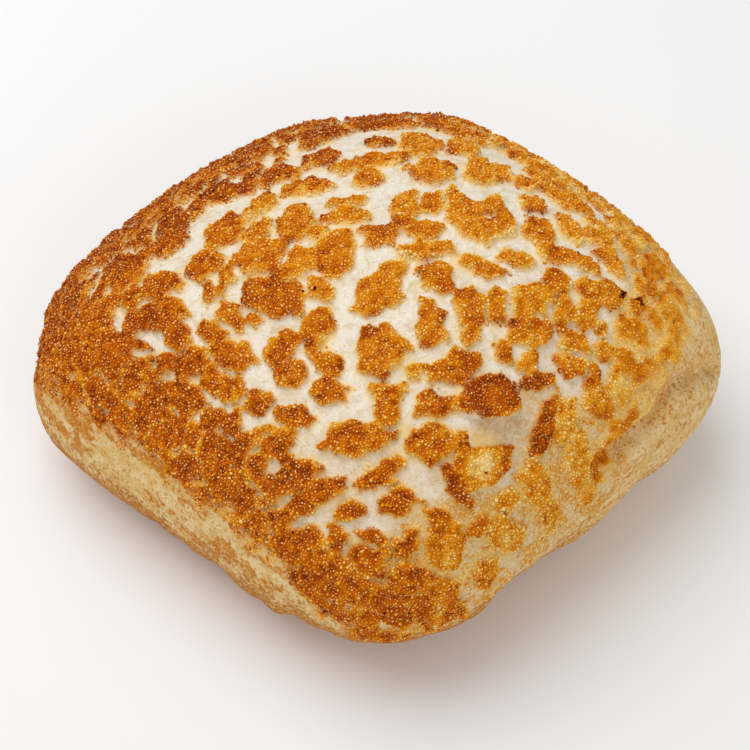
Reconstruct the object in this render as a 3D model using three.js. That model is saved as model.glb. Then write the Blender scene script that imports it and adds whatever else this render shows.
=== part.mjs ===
// Tiger bread loaf: one uncut loaf, a rounded square set cornerwise, its crown sprung over to the right.
// Rice paste brushed over the dough has set and cracked into plates, which stand proud of the pale skin.
// Millimetres, +Z up. The loaf stands on its flat base at z = 0, the origin under the middle of its box.

import * as THREE from 'three';
import { mergeVertices } from 'three/addons/utils/BufferGeometryUtils.js';

// Plan: how far each corner reaches from the loaf's axis, and how straight each side runs.
// A fullness of 2 makes a side an elliptic arc, and a larger one makes it straighter.
const REACH = { left: 111.5, right: 105.5, front: 92.5, back: 102 };
const FULLNESS = { frontLeft: 4, frontRight: 4.2, backLeft: 2.5, backRight: 3.1 };

// Profile from the flat base, out to the widest line and up over the crown.
const LOAF_HEIGHT = 90.5;
const WIDEST_HEIGHT = 32.5;
const BASE_SHARE = 0.675;
const CROWN_ROUNDNESS = 1.88;
const CROWN_LEAN = { x: 15.5, y: 1 };

// Slow lumps of the risen dough, fading out towards the base.
const LUMP_HEIGHT = 1.3;
const LUMP_GRAIN = 34;
const LUMP_FADE = 14;

// Short waves along the foot of the side, between these heights.
const WAVE_HEIGHT = 1.4;
const WAVE_GRAIN = 12;
const WAVE_STARTS = [1, 6];
const WAVE_ENDS = [14, 34];

// Crackled paste: plates laid out on the crust as if it were rolled out flat. Their edges wander.
const LAYOUT_SEED = 4882;
const UNROLL = 0.7;
const PLATE_INSIDE = 9;
const PLATE_THICKNESS = 2.2;
const PLATE_EDGE = 0.7;
const WANDER_GRAIN = 10;

// Plates that stand apart on the crown and its front.
// Each has its place across and towards the back, its length, its width and its turn in degrees.
const LAID_PLATES = [
  // Middle of the crown.
  [1.5, -20, 22, 13, 70], [2, -40, 16, 14, 20], [4, -58, 15, 11, 95], [-6, -69.5, 19, 13, -8],
  [-14, -53.5, 12.5, 11, 0], [-15.5, -42, 14, 6, -40], [-17, -18, 12, 7, -60], [-17.5, -31, 13, 9, 70],
  [-29, -36, 12, 9, 30], [-26, -45.5, 11, 10, 0], [-31, -18, 20, 13, -15], [-44.5, -23, 11, 6, -45],
  [-37, -26, 6, 4, 10], [-46, -36.5, 16, 12, -40], [-47, -48.5, 11, 9, 0], [-36.5, -54, 10, 7, 10],
  [-46.5, -60.5, 10, 7, 70], [-26, -61, 13, 8, -30], [-43, -68, 18, 6, 25], [-32, -71, 13, 11, 0],
  [17.5, -73, 16, 12, 0], [18, -59, 11, 8, 10], [11.5, -49, 4, 4, 0], [16, -31, 16, 8, 100],
  [18, -15.5, 12, 10, 60], [2, 0, 10, 9, 10],
  // Right of the middle.
  [33, -11.5, 14, 5.5, -18], [28, -28, 21, 9, -80], [36.5, -24.5, 13, 6.5, 80], [47, -21.5, 12, 11, 0],
  [48, -32, 13, 12, 0], [55, -14.5, 9, 6, -40], [58.5, -24.5, 10, 7, -60], [66, -14, 11, 7, 0],
  [75, -15, 11, 11, 0], [66, -23.5, 9, 8, 80], [73, -27, 5, 5, 0], [64, -34, 10, 7, 0],
  [24, -46, 18, 8, 22], [34, -54, 17, 11, 16], [39.5, -39, 8.5, 5.5, -55], [51, -49, 14, 7, 15],
  [46.5, -43, 7, 6, 90], [63, -42, 11, 8, 0], [55.5, -64, 20, 7, 88], [63, -60, 17, 10, 90],
  [34, -78, 22, 20, 45], [42.5, -73, 15, 5, 80], [26, -85, 13, 6, -55], [30.5, -91, 6, 5, 0],
  [57, -84, 20, 11, -45], [72, -71, 16, 9, -60], [82, -80, 14, 8, -45], [66, -92, 14, 8, -40],
  [77, -53, 15, 9, 0],
  [86, -26, 15, 8, -20], [75, -35, 9, 7, 0], [84, -36, 11, 9, -30], [92.5, -38, 11, 9, 50],
  [86.5, -16, 8, 8, 0], [73, -45, 10, 6, 90], [84, -46, 12, 9, 0], [95, -49, 13, 8, 70],
  [89, -58, 10, 6, 0], [88, -66, 12, 9, 90],
  // Back of the crown.
  [5, 78, 20, 14, 0], [30, 74, 20, 15, -25], [-21, 72, 19, 16, 10], [2, 54, 10, 7, 0],
  [-2, 39, 27, 8.5, 10], [-2, 28, 11, 9, 0], [-8, 17, 12, 6, -5], [-9, 10, 12, 7, 0],
  [-22.5, 29, 17, 8, 2], [-24, 10, 20, 12, 80], [-16.5, 3, 7, 5, 10], [-12, -6, 18, 11, 70],
  [-23, -8, 12, 9, 50], [-36, -4, 17, 13, 0], [-36, 9, 13, 7, 60], [-33, 41, 14, 12, 0],
  [-19, 46, 15, 11, 0], [-36.5, 24, 13, 8, 60], [-48, 12, 17, 12, 60], [-55, 37, 18, 12, 20],
  [-44, 39, 14, 10, 80], [15, 52, 21, 13, 100], [18, 31, 15, 14, 0], [16.5, 15, 12, 7, 85],
  [9, 12, 15, 8, 80], [15, 2.5, 10, 8, -10], [27, 10, 26, 11, -65], [37, 5.5, 15, 7.5, 42],
  [35.5, 15.5, 11, 8, 55], [36.5, 35, 17, 15, 0], [49, 32.5, 10, 8, 0], [30, 53, 19, 11, 75],
  [50.5, 21, 9, 9, 0], [51.5, 5, 18, 10, -85], [65, 27, 21, 9, -28], [62, 11, 15, 6.5, -75],
  [71.5, 8, 13, 11, 0], [16, -6.5, 15, 6, 8], [43, -7, 12, 6, -15], [60, -4, 20, 8, -12],
  [59, 41, 18, 10, -35],
  // Left of the middle.
  [-56, -2, 15, 12, 0], [-52.5, -13.5, 9, 5, 100], [-46.5, -9, 12, 6, 68], [-71, 14, 18, 10, 20],
  [-67, 25, 16, 10, 25], [-72, -6, 17, 11, 0], [-71, -17, 20, 12, 0], [-84, -19, 14, 6.5, 80],
  [-66, -27, 14, 11, -60], [-60, -37, 12, 9.5, 30], [-54, -45, 12, 7, -70], [-52, -27, 13, 8.5, -25],
  [-86, 4, 17, 14, 30], [-97, -13, 16, 9, 80], [-56, -58, 11, 9, 0],
  // Front.
  [-28.5, -83, 21, 11, 30], [-17.5, -87, 15, 9, 8], [-26, -93.5, 10, 7, 20], [-41, -77, 9, 7, 60],
  [2, -82.5, 18, 9, 38],
  [8, -93, 14, 9, 12], [-8, -95, 11, 8, 0], [-48, -84, 13, 9, 90], [-55, -74, 13, 10, 60],
  [12, -108, 11, 5, 90], [15.5, -119.5, 13, 8, -50], [24, -107, 22, 13, 88], [34.5, -101.5, 9, 7, 40],
  [46, -90, 10, 6, 20], [48, -103, 16, 14, 0], [42, -117, 12, 10, 30], [25, -125, 13, 10, 0],
  [21, -98, 8, 7, 0],
  // Right corner.
  [101, -36, 10, 8, 30], [105, -47, 11, 6, 70], [102, -27, 12, 8, 60], [84, -73, 10, 8, 0],
  // Left corner.
  [-82.5, -9, 12, 9, 60], [-93, -8, 11, 8, 60], [-36.5, -84, 9, 7, 60],
  // Under the curled flake.
  [35, -56.5, 19, 10, 16],
  // Upper right.
  [75, 0, 14, 9, -20], [73.5, 15, 11, 8, -40], [53, 55, 12, 6, -40],
];
const LAID_WANDER = 1.2;

// Each laid plate has straight sides about its oval, turned and moved out or in by draws of its own.
const LAID_SIDES = 6;
const LAID_SIDE_TURN = 0.6;
const LAID_SIDE_OUT = [0.8, 1.08];

// How far the laid plates reach over the crust, at sixteen compass points anticlockwise from the right.
const LAID_MIDDLE = { x: 0, y: -10 };
const LAID_REACH = [84, 84, 80, 78, 80, 68, 67, 74, 92, 68, 66, 88, 90, 130, 150, 130];
const LAID_BORDER = 3;

// Beyond them plates lie in staggered rows.
const PLATE_PITCH = { x: 14, y: 12.2 };
const PLATE_JITTER = 0.9;
const WANDER_REACH = 3.2;

// Cracks between the rows: widest where the crown sprang, closed on the front left, narrow on the right.
const CRACK = { crown: 1.8, closed: 0.15, right: 0.8 };
const CRACK_LEAST_SHARE = 0.35;
const CRACK_SPREAD_SHARE = 1.9;
const UNCRACKED_SHARE = 0.2;
const SIDE_LEAN = { x: 0.75, y: 0.66 };
const FRONT_LEFT_CLOSES = [55, 73];
const BACK_LEFT_NARROWS = [52, 80];
const BACK_LEFT_SHARE = 0.6;
const FRONT_NARROWS = [78, 92];
const FRONT_SHARE = 0.85;
const RIGHT_STARTS = [45, 80];

// The paste's lower edge: its height at sixteen compass points, anticlockwise from the right corner.
const PASTE_EDGE_HEIGHTS = [62, 52, 46, 42, 40, 40, 40, 38, 36, 45, 46, 44, 22, 27, 32, 57];
const PASTE_EDGE_TAPER = 7;
const PASTE_EDGE_WAVE = 4.5;
const PASTE_EDGE_GRAIN = 6;

// A flake of crust that has curled up on the right of the crown: its front edge lifts, its back stays down.
// The ramps are shares of its half length and half width, where its ends, its front and its back slope.
const FLAKE = { x: 31.5, y: -50, length: 18, width: 11, turn: 0.28, rise: 3.6 };
const FLAKE_ENDS = [0.7, 1];
const FLAKE_FRONT = [-1, -0.6];
const FLAKE_BACK = [-0.5, 1];

// The fold under the right corner, where the crown overhangs the side.
const FOLD_PATH = [
  [106, -12, 44], [96, -24, 52.5], [88, -31, 55], [83, -39, 51.5], [74.5, -46.5, 51.5], [65, -54.5, 52],
];
const FOLD_DEPTH = 5.5;
const FOLD_HALF_WIDTH = 6;
const FOLD_STEPS = 60;

// Mesh fineness: divisions of a sphere's faces, and how it falls off down the plain lower side to the base.
const SPHERE_DETAIL = 23;
const FINE_ABOVE = [3, 20];
const BASE_FINENESS = 0.08;
const PROFILE_STEPS = 240;

// Mesh points this close to a plate's edge move along the skin to it, so that the edge stands sharp.
// Triangles are then turned to run along the edges, while both still face outwards by the last value or more.
const EDGE_CATCH = 1.6;
const EDGE_STEP = 0.4;
const EDGE_PASSES = 4;
const LEAST_FACING = 0.8;

// Numbers that tell the layout's draws apart.
const DRAW = {
  across: 0, along: 1, crack: 5, sideTurn: 7, sideOut: 8,
  wanderX: 11, wanderY: 12, edge: 31, lump: 41, wave: 42,
};

// A fixed draw from 0 to 1 for a cell of the layout.
function chance(i, j, draw) {
  let mixed = Math.imul(i, 374761393) + Math.imul(j, 668265263) + Math.imul(LAYOUT_SEED + draw, 3266489917);
  mixed = Math.imul(mixed ^ (mixed >>> 15), 2246822519);
  mixed = Math.imul(mixed ^ (mixed >>> 13), 3266489917);
  return ((mixed ^ (mixed >>> 16)) >>> 0) / 2 ** 32;
}

function ease(t) {
  return t * t * (3 - 2 * t);
}

function ramp([low, high], value) {
  return ease(THREE.MathUtils.clamp((value - low) / (high - low), 0, 1));
}

// Smooth noise from -1 to 1 over the rolled-out crust.
function noise(spot, grain, draw) {
  const i = Math.floor(spot.x / grain);
  const j = Math.floor(spot.y / grain);
  const across = ease(spot.x / grain - i);
  const along = ease(spot.y / grain - j);
  const near = THREE.MathUtils.lerp(chance(i, j, draw), chance(i + 1, j, draw), across);
  const far = THREE.MathUtils.lerp(chance(i, j + 1, draw), chance(i + 1, j + 1, draw), across);
  return THREE.MathUtils.lerp(near, far, along) * 2 - 1;
}

function rolledOut(point) {
  const stretch = 1 + UNROLL * (LOAF_HEIGHT - point.z) / LOAF_HEIGHT;
  return new THREE.Vector2(point.x * stretch, point.y * stretch);
}

// Half the usual width of a crack at a place on the crust.
function crackAt(point) {
  const frontLeft = -(SIDE_LEAN.x * point.x + SIDE_LEAN.y * point.y);
  const backLeft = -(SIDE_LEAN.x * point.x - SIDE_LEAN.y * point.y);
  const spring = (1 - ramp(FRONT_LEFT_CLOSES, frontLeft))
    * (1 - BACK_LEFT_SHARE * ramp(BACK_LEFT_NARROWS, backLeft))
    * (1 - FRONT_SHARE * ramp(FRONT_NARROWS, -point.y));
  const sprung = THREE.MathUtils.lerp(CRACK.closed, CRACK.crown, spring);
  return THREE.MathUtils.lerp(sprung, CRACK.right, ramp(RIGHT_STARTS, point.x));
}

// Reads a value between those given at even compass points, anticlockwise from the right.
function aroundCompass(values, x, y) {
  const turn = THREE.MathUtils.euclideanModulo(Math.atan2(y, x) / (2 * Math.PI), 1) * values.length;
  const from = Math.floor(turn);
  const here = values[from % values.length];
  const next = values[(from + 1) % values.length];
  return THREE.MathUtils.lerp(here, next, ease(turn - from));
}

// Works out a laid plate's middle and its sides: which way each side faces, and how far out it stands.
function layPlate([x, y, length, width, turn], k) {
  const sides = [];
  for (let side = 0; side < LAID_SIDES; side += 1) {
    const stray = LAID_SIDE_TURN * (chance(k, side, DRAW.sideTurn) - 0.5);
    const angle = 2 * Math.PI * (side + stray) / LAID_SIDES;
    const way = new THREE.Vector2(Math.cos(angle) / (length / 2), Math.sin(angle) / (width / 2));
    const out = THREE.MathUtils.lerp(...LAID_SIDE_OUT, chance(k, side, DRAW.sideOut)) / way.length();
    way.normalize().rotateAround(new THREE.Vector2(), THREE.MathUtils.degToRad(turn));
    sides.push({ way, out });
  }
  return { middle: new THREE.Vector2(x, y), sides };
}

const laidPlates = LAID_PLATES.map(layPlate);

// How far inside a laid plate a spot lies.
function insideLaidPlate(spot) {
  const rooms = laidPlates.map(({ middle, sides }) => {
    const own = spot.clone().sub(middle);
    return Math.min(...sides.map(({ way, out }) => out - own.dot(way)));
  });
  return Math.max(-PLATE_INSIDE, ...rooms);
}

function plateCentre(i, j) {
  const stagger = 0.5 * (j & 1);
  const across = PLATE_JITTER * (chance(i, j, DRAW.across) - 0.5);
  const along = PLATE_JITTER * (chance(i, j, DRAW.along) - 0.5);
  return new THREE.Vector2((i + stagger + across) * PLATE_PITCH.x, (j + along) * PLATE_PITCH.y);
}

// The plates whose centres may lie nearest to a spot.
function platesAround(spot) {
  const column = Math.floor(spot.x / PLATE_PITCH.x + 0.5);
  const row = Math.floor(spot.y / PLATE_PITCH.y + 0.5);
  const plates = [];
  for (let j = row - 2; j <= row + 2; j += 1) {
    for (let i = column - 2; i <= column + 2; i += 1) {
      const centre = plateCentre(i, j);
      plates.push({ i, j, centre, away: centre.distanceToSquared(spot) });
    }
  }
  return plates;
}

// How far inside a plate of the rows a spot lies, between cracks of the given usual half width.
function insideRowPlate(spot, halfCrack) {
  const plates = platesAround(spot);
  const own = plates.reduce((nearest, plate) => (plate.away < nearest.away ? plate : nearest));
  let inside = PLATE_INSIDE;
  for (const plate of plates) {
    const spread = chance(plate.i + own.i, plate.j + own.j, DRAW.crack);
    if (plate === own || spread < UNCRACKED_SHARE) continue;
    const wall = (plate.away - own.away) / (2 * plate.centre.distanceTo(own.centre));
    inside = Math.min(inside, wall - halfCrack * (CRACK_LEAST_SHARE + CRACK_SPREAD_SHARE * spread * spread));
  }
  return inside;
}

// How far inside its plate a place lies. It is below zero in a crack.
function insidePlate(point) {
  const flat = rolledOut(point);
  const wander = new THREE.Vector2(
    noise(flat, WANDER_GRAIN, DRAW.wanderX),
    noise(flat, WANDER_GRAIN, DRAW.wanderY),
  );
  const laid = insideLaidPlate(flat.clone().addScaledVector(wander, LAID_WANDER));
  const row = insideRowPlate(flat.clone().addScaledVector(wander, WANDER_REACH), crackAt(point));
  const [x, y] = [flat.x - LAID_MIDDLE.x, flat.y - LAID_MIDDLE.y];
  const beyond = ramp([-LAID_BORDER, LAID_BORDER], Math.hypot(x, y) - aroundCompass(LAID_REACH, x, y));
  return Math.max(laid, row - 2 * PLATE_INSIDE * (1 - beyond));
}

// How much of the paste's thickness is there: it thins out towards its lower edge.
function pasteShare(point) {
  const wave = PASTE_EDGE_WAVE * noise(rolledOut(point), PASTE_EDGE_GRAIN, DRAW.edge);
  const edge = aroundCompass(PASTE_EDGE_HEIGHTS, point.x, point.y);
  return ramp([0, PASTE_EDGE_TAPER], point.z - edge + wave);
}

function flakeRise(point) {
  if (point.z < WIDEST_HEIGHT) return 0;
  const spot = new THREE.Vector2(point.x - FLAKE.x, point.y - FLAKE.y);
  spot.rotateAround(new THREE.Vector2(), -FLAKE.turn);
  const ends = Math.abs(spot.x) / (FLAKE.length / 2);
  const across = spot.y / (FLAKE.width / 2);
  const lifted = ramp(FLAKE_FRONT, across) * (1 - ramp(FLAKE_BACK, across));
  return FLAKE.rise * lifted * (1 - ramp(FLAKE_ENDS, ends));
}

const foldCurve = new THREE.CatmullRomCurve3(FOLD_PATH.map((place) => new THREE.Vector3(...place)));
const foldPlaces = foldCurve.getPoints(FOLD_STEPS);

function foldSink(point) {
  const away = Math.min(...foldPlaces.map((place) => place.distanceTo(point)));
  return FOLD_DEPTH * (1 - ramp([0, FOLD_HALF_WIDTH], away));
}

// Where the loaf's plan reaches from its axis, as a share of the widest line, for each part of the profile.
function profile() {
  const rows = [];
  for (let step = 0; step <= PROFILE_STEPS; step += 1) {
    const tilt = Math.PI * (0.5 - step / PROFILE_STEPS);
    const out = Math.max(Math.cos(tilt), 0);
    const up = Math.abs(Math.sin(tilt));
    if (tilt >= 0) {
      const z = WIDEST_HEIGHT + (LOAF_HEIGHT - WIDEST_HEIGHT) * up;
      rows.push({ reach: out ** (2 / CROWN_ROUNDNESS), z });
    } else {
      rows.push({ reach: BASE_SHARE + (1 - BASE_SHARE) * out, z: WIDEST_HEIGHT * (1 - up) });
    }
  }
  for (let step = 1; step <= PROFILE_STEPS; step += 1) {
    rows.push({ reach: BASE_SHARE * (1 - step / PROFILE_STEPS), z: 0 });
  }
  return rows;
}

// The profile with the share of the mesh that lies above each row.
function profileByArea() {
  const rows = profile();
  const meanReach = (REACH.left + REACH.right + REACH.front + REACH.back) / 4;
  let area = 0;
  rows[0].above = 0;
  for (let k = 1; k < rows.length; k += 1) {
    const out = (rows[k].reach - rows[k - 1].reach) * meanReach;
    const down = rows[k].z - rows[k - 1].z;
    const fineness = THREE.MathUtils.lerp(BASE_FINENESS, 1, ramp(FINE_ABOVE, rows[k].z));
    area += fineness * Math.hypot(out, down) * (rows[k].reach + rows[k - 1].reach);
    rows[k].above = area;
  }
  return rows.map((row) => ({ ...row, above: row.above / area }));
}

function planReach(angle) {
  const across = Math.cos(angle);
  const along = Math.sin(angle);
  const right = across >= 0;
  const back = along >= 0;
  const x = across / (right ? REACH.right : REACH.left);
  const y = along / (back ? REACH.back : REACH.front);
  const backFullness = right ? FULLNESS.backRight : FULLNESS.backLeft;
  const frontFullness = right ? FULLNESS.frontRight : FULLNESS.frontLeft;
  const fullness = back ? backFullness : frontFullness;
  return (2 / (Math.abs(x + y) ** fullness + Math.abs(x - y) ** fullness)) ** (1 / fullness);
}

// Moves a point of the unit sphere to its place on the smooth loaf.
function shapeLoaf(point, rows) {
  const above = (1 - THREE.MathUtils.clamp(point.z, -1, 1)) / 2;
  const next = Math.max(rows.findIndex((row) => row.above >= above), 1);
  const [upper, lower] = [rows[next - 1], rows[next]];
  const share = (above - upper.above) / (lower.above - upper.above);
  const reach = THREE.MathUtils.lerp(upper.reach, lower.reach, share);
  const z = THREE.MathUtils.lerp(upper.z, lower.z, share);
  const angle = Math.atan2(point.y, point.x);
  const out = reach * planReach(angle);
  const lean = (z / LOAF_HEIGHT) ** 2;
  point.set(out * Math.cos(angle) + CROWN_LEAN.x * lean, out * Math.sin(angle) + CROWN_LEAN.y * lean, z);
}

// Moves a point that lies close to a plate's edge along the skin, to the top or the foot of that edge.
function catchPlateEdge(point, normal) {
  const inside = insidePlate(point);
  if (pasteShare(point) === 0 || Math.abs(inside) > EDGE_CATCH) return;
  const sideways = new THREE.Vector3(-normal.y, normal.x, 0).normalize();
  const uphill = new THREE.Vector3().crossVectors(normal, sideways);
  const climb = new THREE.Vector3();
  for (const way of [sideways, uphill]) {
    const ahead = insidePlate(point.clone().addScaledVector(way, EDGE_STEP));
    climb.addScaledVector(way, (ahead - inside) / EDGE_STEP);
  }
  if (climb.lengthSq() === 0) return;
  const wanted = inside > 0 ? PLATE_EDGE : -PLATE_EDGE;
  const reach = EDGE_CATCH - PLATE_EDGE;
  const move = THREE.MathUtils.clamp((wanted - inside) / climb.length(), -reach, reach);
  point.addScaledVector(climb.normalize(), move);
}

function facing(places, corners) {
  const [a, b, c] = corners.map((k) => new THREE.Vector3().fromBufferAttribute(places, k));
  return b.sub(a).cross(c.sub(a)).normalize();
}

function trianglesOf(geometry) {
  const index = geometry.getIndex();
  const triangles = [];
  for (let k = 0; k < index.count; k += 3) {
    triangles.push([index.getX(k), index.getX(k + 1), index.getX(k + 2)]);
  }
  return triangles;
}

function sideName(from, to) {
  return `${from} to ${to}`;
}

// The triangle that each side belongs to, by the side's two ends in order.
function sideOwners(triangles) {
  const owners = new Map();
  triangles.forEach((corners, k) => {
    corners.forEach((from, side) => owners.set(sideName(from, corners[(side + 1) % 3]), k));
  });
  return owners;
}

// Turns each side that crosses a plate's edge between two triangles, where its turned way doesn't cross.
function turnSides(triangles, raised, places) {
  const owners = sideOwners(triangles);
  const turned = new Set();
  triangles.forEach((corners, k) => {
    for (let side = 0; side < 3 && !turned.has(k); side += 1) {
      const [a, b, c] = [0, 1, 2].map((step) => corners[(side + step) % 3]);
      const other = owners.get(sideName(b, a));
      const d = triangles[other].find((corner) => corner !== a && corner !== b);
      if (turned.has(other) || raised[a] === raised[b] || raised[c] !== raised[d]) continue;
      const outward = facing(places, [a, b, c]).add(facing(places, [b, a, d])).normalize();
      const pair = [[a, d, c], [d, b, c]];
      if (pair.some((ends) => facing(places, ends).dot(outward) < LEAST_FACING)) continue;
      [triangles[k], triangles[other]] = pair;
      turned.add(k).add(other);
    }
  });
}

function followPlateEdges(geometry) {
  const places = geometry.getAttribute('position');
  const triangles = trianglesOf(geometry);
  const point = new THREE.Vector3();
  const raised = [];
  for (let k = 0; k < places.count; k += 1) {
    raised.push(insidePlate(point.fromBufferAttribute(places, k)) > 0);
  }
  for (let pass = 0; pass < EDGE_PASSES; pass += 1) {
    turnSides(triangles, raised, places);
  }
  geometry.setIndex(triangles.flat());
}

function footWave(point) {
  const share = ramp(WAVE_STARTS, point.z) * (1 - ramp(WAVE_ENDS, point.z));
  return WAVE_HEIGHT * share * noise(rolledOut(point), WAVE_GRAIN, DRAW.wave);
}

// How far the finished crust stands out from the smooth loaf at a place.
function crustRise(point) {
  const cover = pasteShare(point) * ramp([-PLATE_EDGE, PLATE_EDGE], insidePlate(point));
  const lump = LUMP_HEIGHT * noise(rolledOut(point), LUMP_GRAIN, DRAW.lump);
  const shaped = PLATE_THICKNESS * (cover - 0.5) + lump + flakeRise(point) - foldSink(point);
  return shaped * ramp([0, LUMP_FADE], point.z) + footWave(point);
}

// Stands a geometry on z = 0 with the middle of its box over the origin.
function centreOverOrigin(geometry) {
  geometry.computeBoundingBox();
  const middle = geometry.boundingBox.getCenter(new THREE.Vector3());
  geometry.translate(-middle.x, -middle.y, -geometry.boundingBox.min.z);
}

function loafGeometry() {
  const sphere = new THREE.IcosahedronGeometry(1, SPHERE_DETAIL);
  sphere.deleteAttribute('normal');
  sphere.deleteAttribute('uv');
  const geometry = mergeVertices(sphere);
  const places = geometry.getAttribute('position');
  const rows = profileByArea();
  const point = new THREE.Vector3();
  for (let k = 0; k < places.count; k += 1) {
    shapeLoaf(point.fromBufferAttribute(places, k), rows);
    places.setXYZ(k, point.x, point.y, point.z);
  }
  centreOverOrigin(geometry);
  geometry.computeVertexNormals();
  const outwards = geometry.getAttribute('normal').clone();
  const normal = new THREE.Vector3();
  for (let k = 0; k < places.count; k += 1) {
    point.fromBufferAttribute(places, k);
    normal.fromBufferAttribute(outwards, k);
    if (point.z > 0) catchPlateEdge(point, normal);
    places.setXYZ(k, point.x, point.y, point.z);
  }
  followPlateEdges(geometry);
  for (let k = 0; k < places.count; k += 1) {
    point.fromBufferAttribute(places, k);
    point.addScaledVector(normal.fromBufferAttribute(outwards, k), crustRise(point));
    places.setXYZ(k, point.x, point.y, point.z);
  }
  geometry.computeVertexNormals();
  centreOverOrigin(geometry);
  return geometry;
}

const bakedCrust = new THREE.MeshStandardMaterial({ color: 0xc88a46, roughness: 0.7, metalness: 0 });

const loaf = new THREE.Mesh(loafGeometry(), bakedCrust);
loaf.name = 'loaf';

const tigerBread = new THREE.Group();
tigerBread.add(loaf);

export default tigerBread;
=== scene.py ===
"""Dresses the tiger bread loaf: pale skin, plates of cracked rice paste, beads of paste, and a studio.

The loaf's form and the layout of its plates repeat the sizes of the part's source, in millimetres, so that
the dressed loaf lies where its solid does. Meshes are written in metres.
"""

import logging
import math
from collections.abc import Sequence
from dataclasses import dataclass, field
from enum import Enum

import bpy
import numpy as np
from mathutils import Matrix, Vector
from mathutils.kdtree import KDTree


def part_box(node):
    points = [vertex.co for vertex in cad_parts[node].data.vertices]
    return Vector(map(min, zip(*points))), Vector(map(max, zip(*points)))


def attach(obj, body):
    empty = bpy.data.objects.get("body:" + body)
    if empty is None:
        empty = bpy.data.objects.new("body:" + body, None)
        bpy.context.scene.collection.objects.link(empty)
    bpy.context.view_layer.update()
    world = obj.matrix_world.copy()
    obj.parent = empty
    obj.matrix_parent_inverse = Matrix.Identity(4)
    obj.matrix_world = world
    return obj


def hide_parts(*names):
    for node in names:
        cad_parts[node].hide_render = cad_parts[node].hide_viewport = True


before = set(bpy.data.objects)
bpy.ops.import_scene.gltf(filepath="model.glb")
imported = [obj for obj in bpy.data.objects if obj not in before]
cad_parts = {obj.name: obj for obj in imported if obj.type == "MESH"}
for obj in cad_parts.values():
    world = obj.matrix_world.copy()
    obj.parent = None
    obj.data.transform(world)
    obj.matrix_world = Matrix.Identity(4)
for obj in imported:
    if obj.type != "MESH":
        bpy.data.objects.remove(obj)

log = logging.getLogger("loaf")

MM = 0.001
NODE = "loaf"
BODY = "root"

# Keeps a division clear of zero.
LEAST_LENGTH = 1e-6

# The curve between a colour as it shows on a screen and linear light.
SCREEN_STEPS = 255
DARK_LIMIT = 0.04045
DARK_SLOPE = 12.92
LIGHT_OFFSET = 0.055
LIGHT_POWER = 2.4

Colour = tuple[float, float, float]
Place = tuple[float, float, float]
Span = tuple[float, float]
Ovals = tuple[tuple[float, ...], ...]
Stops = tuple[tuple[float, Colour], ...]
Socket = bpy.types.NodeSocket

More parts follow.
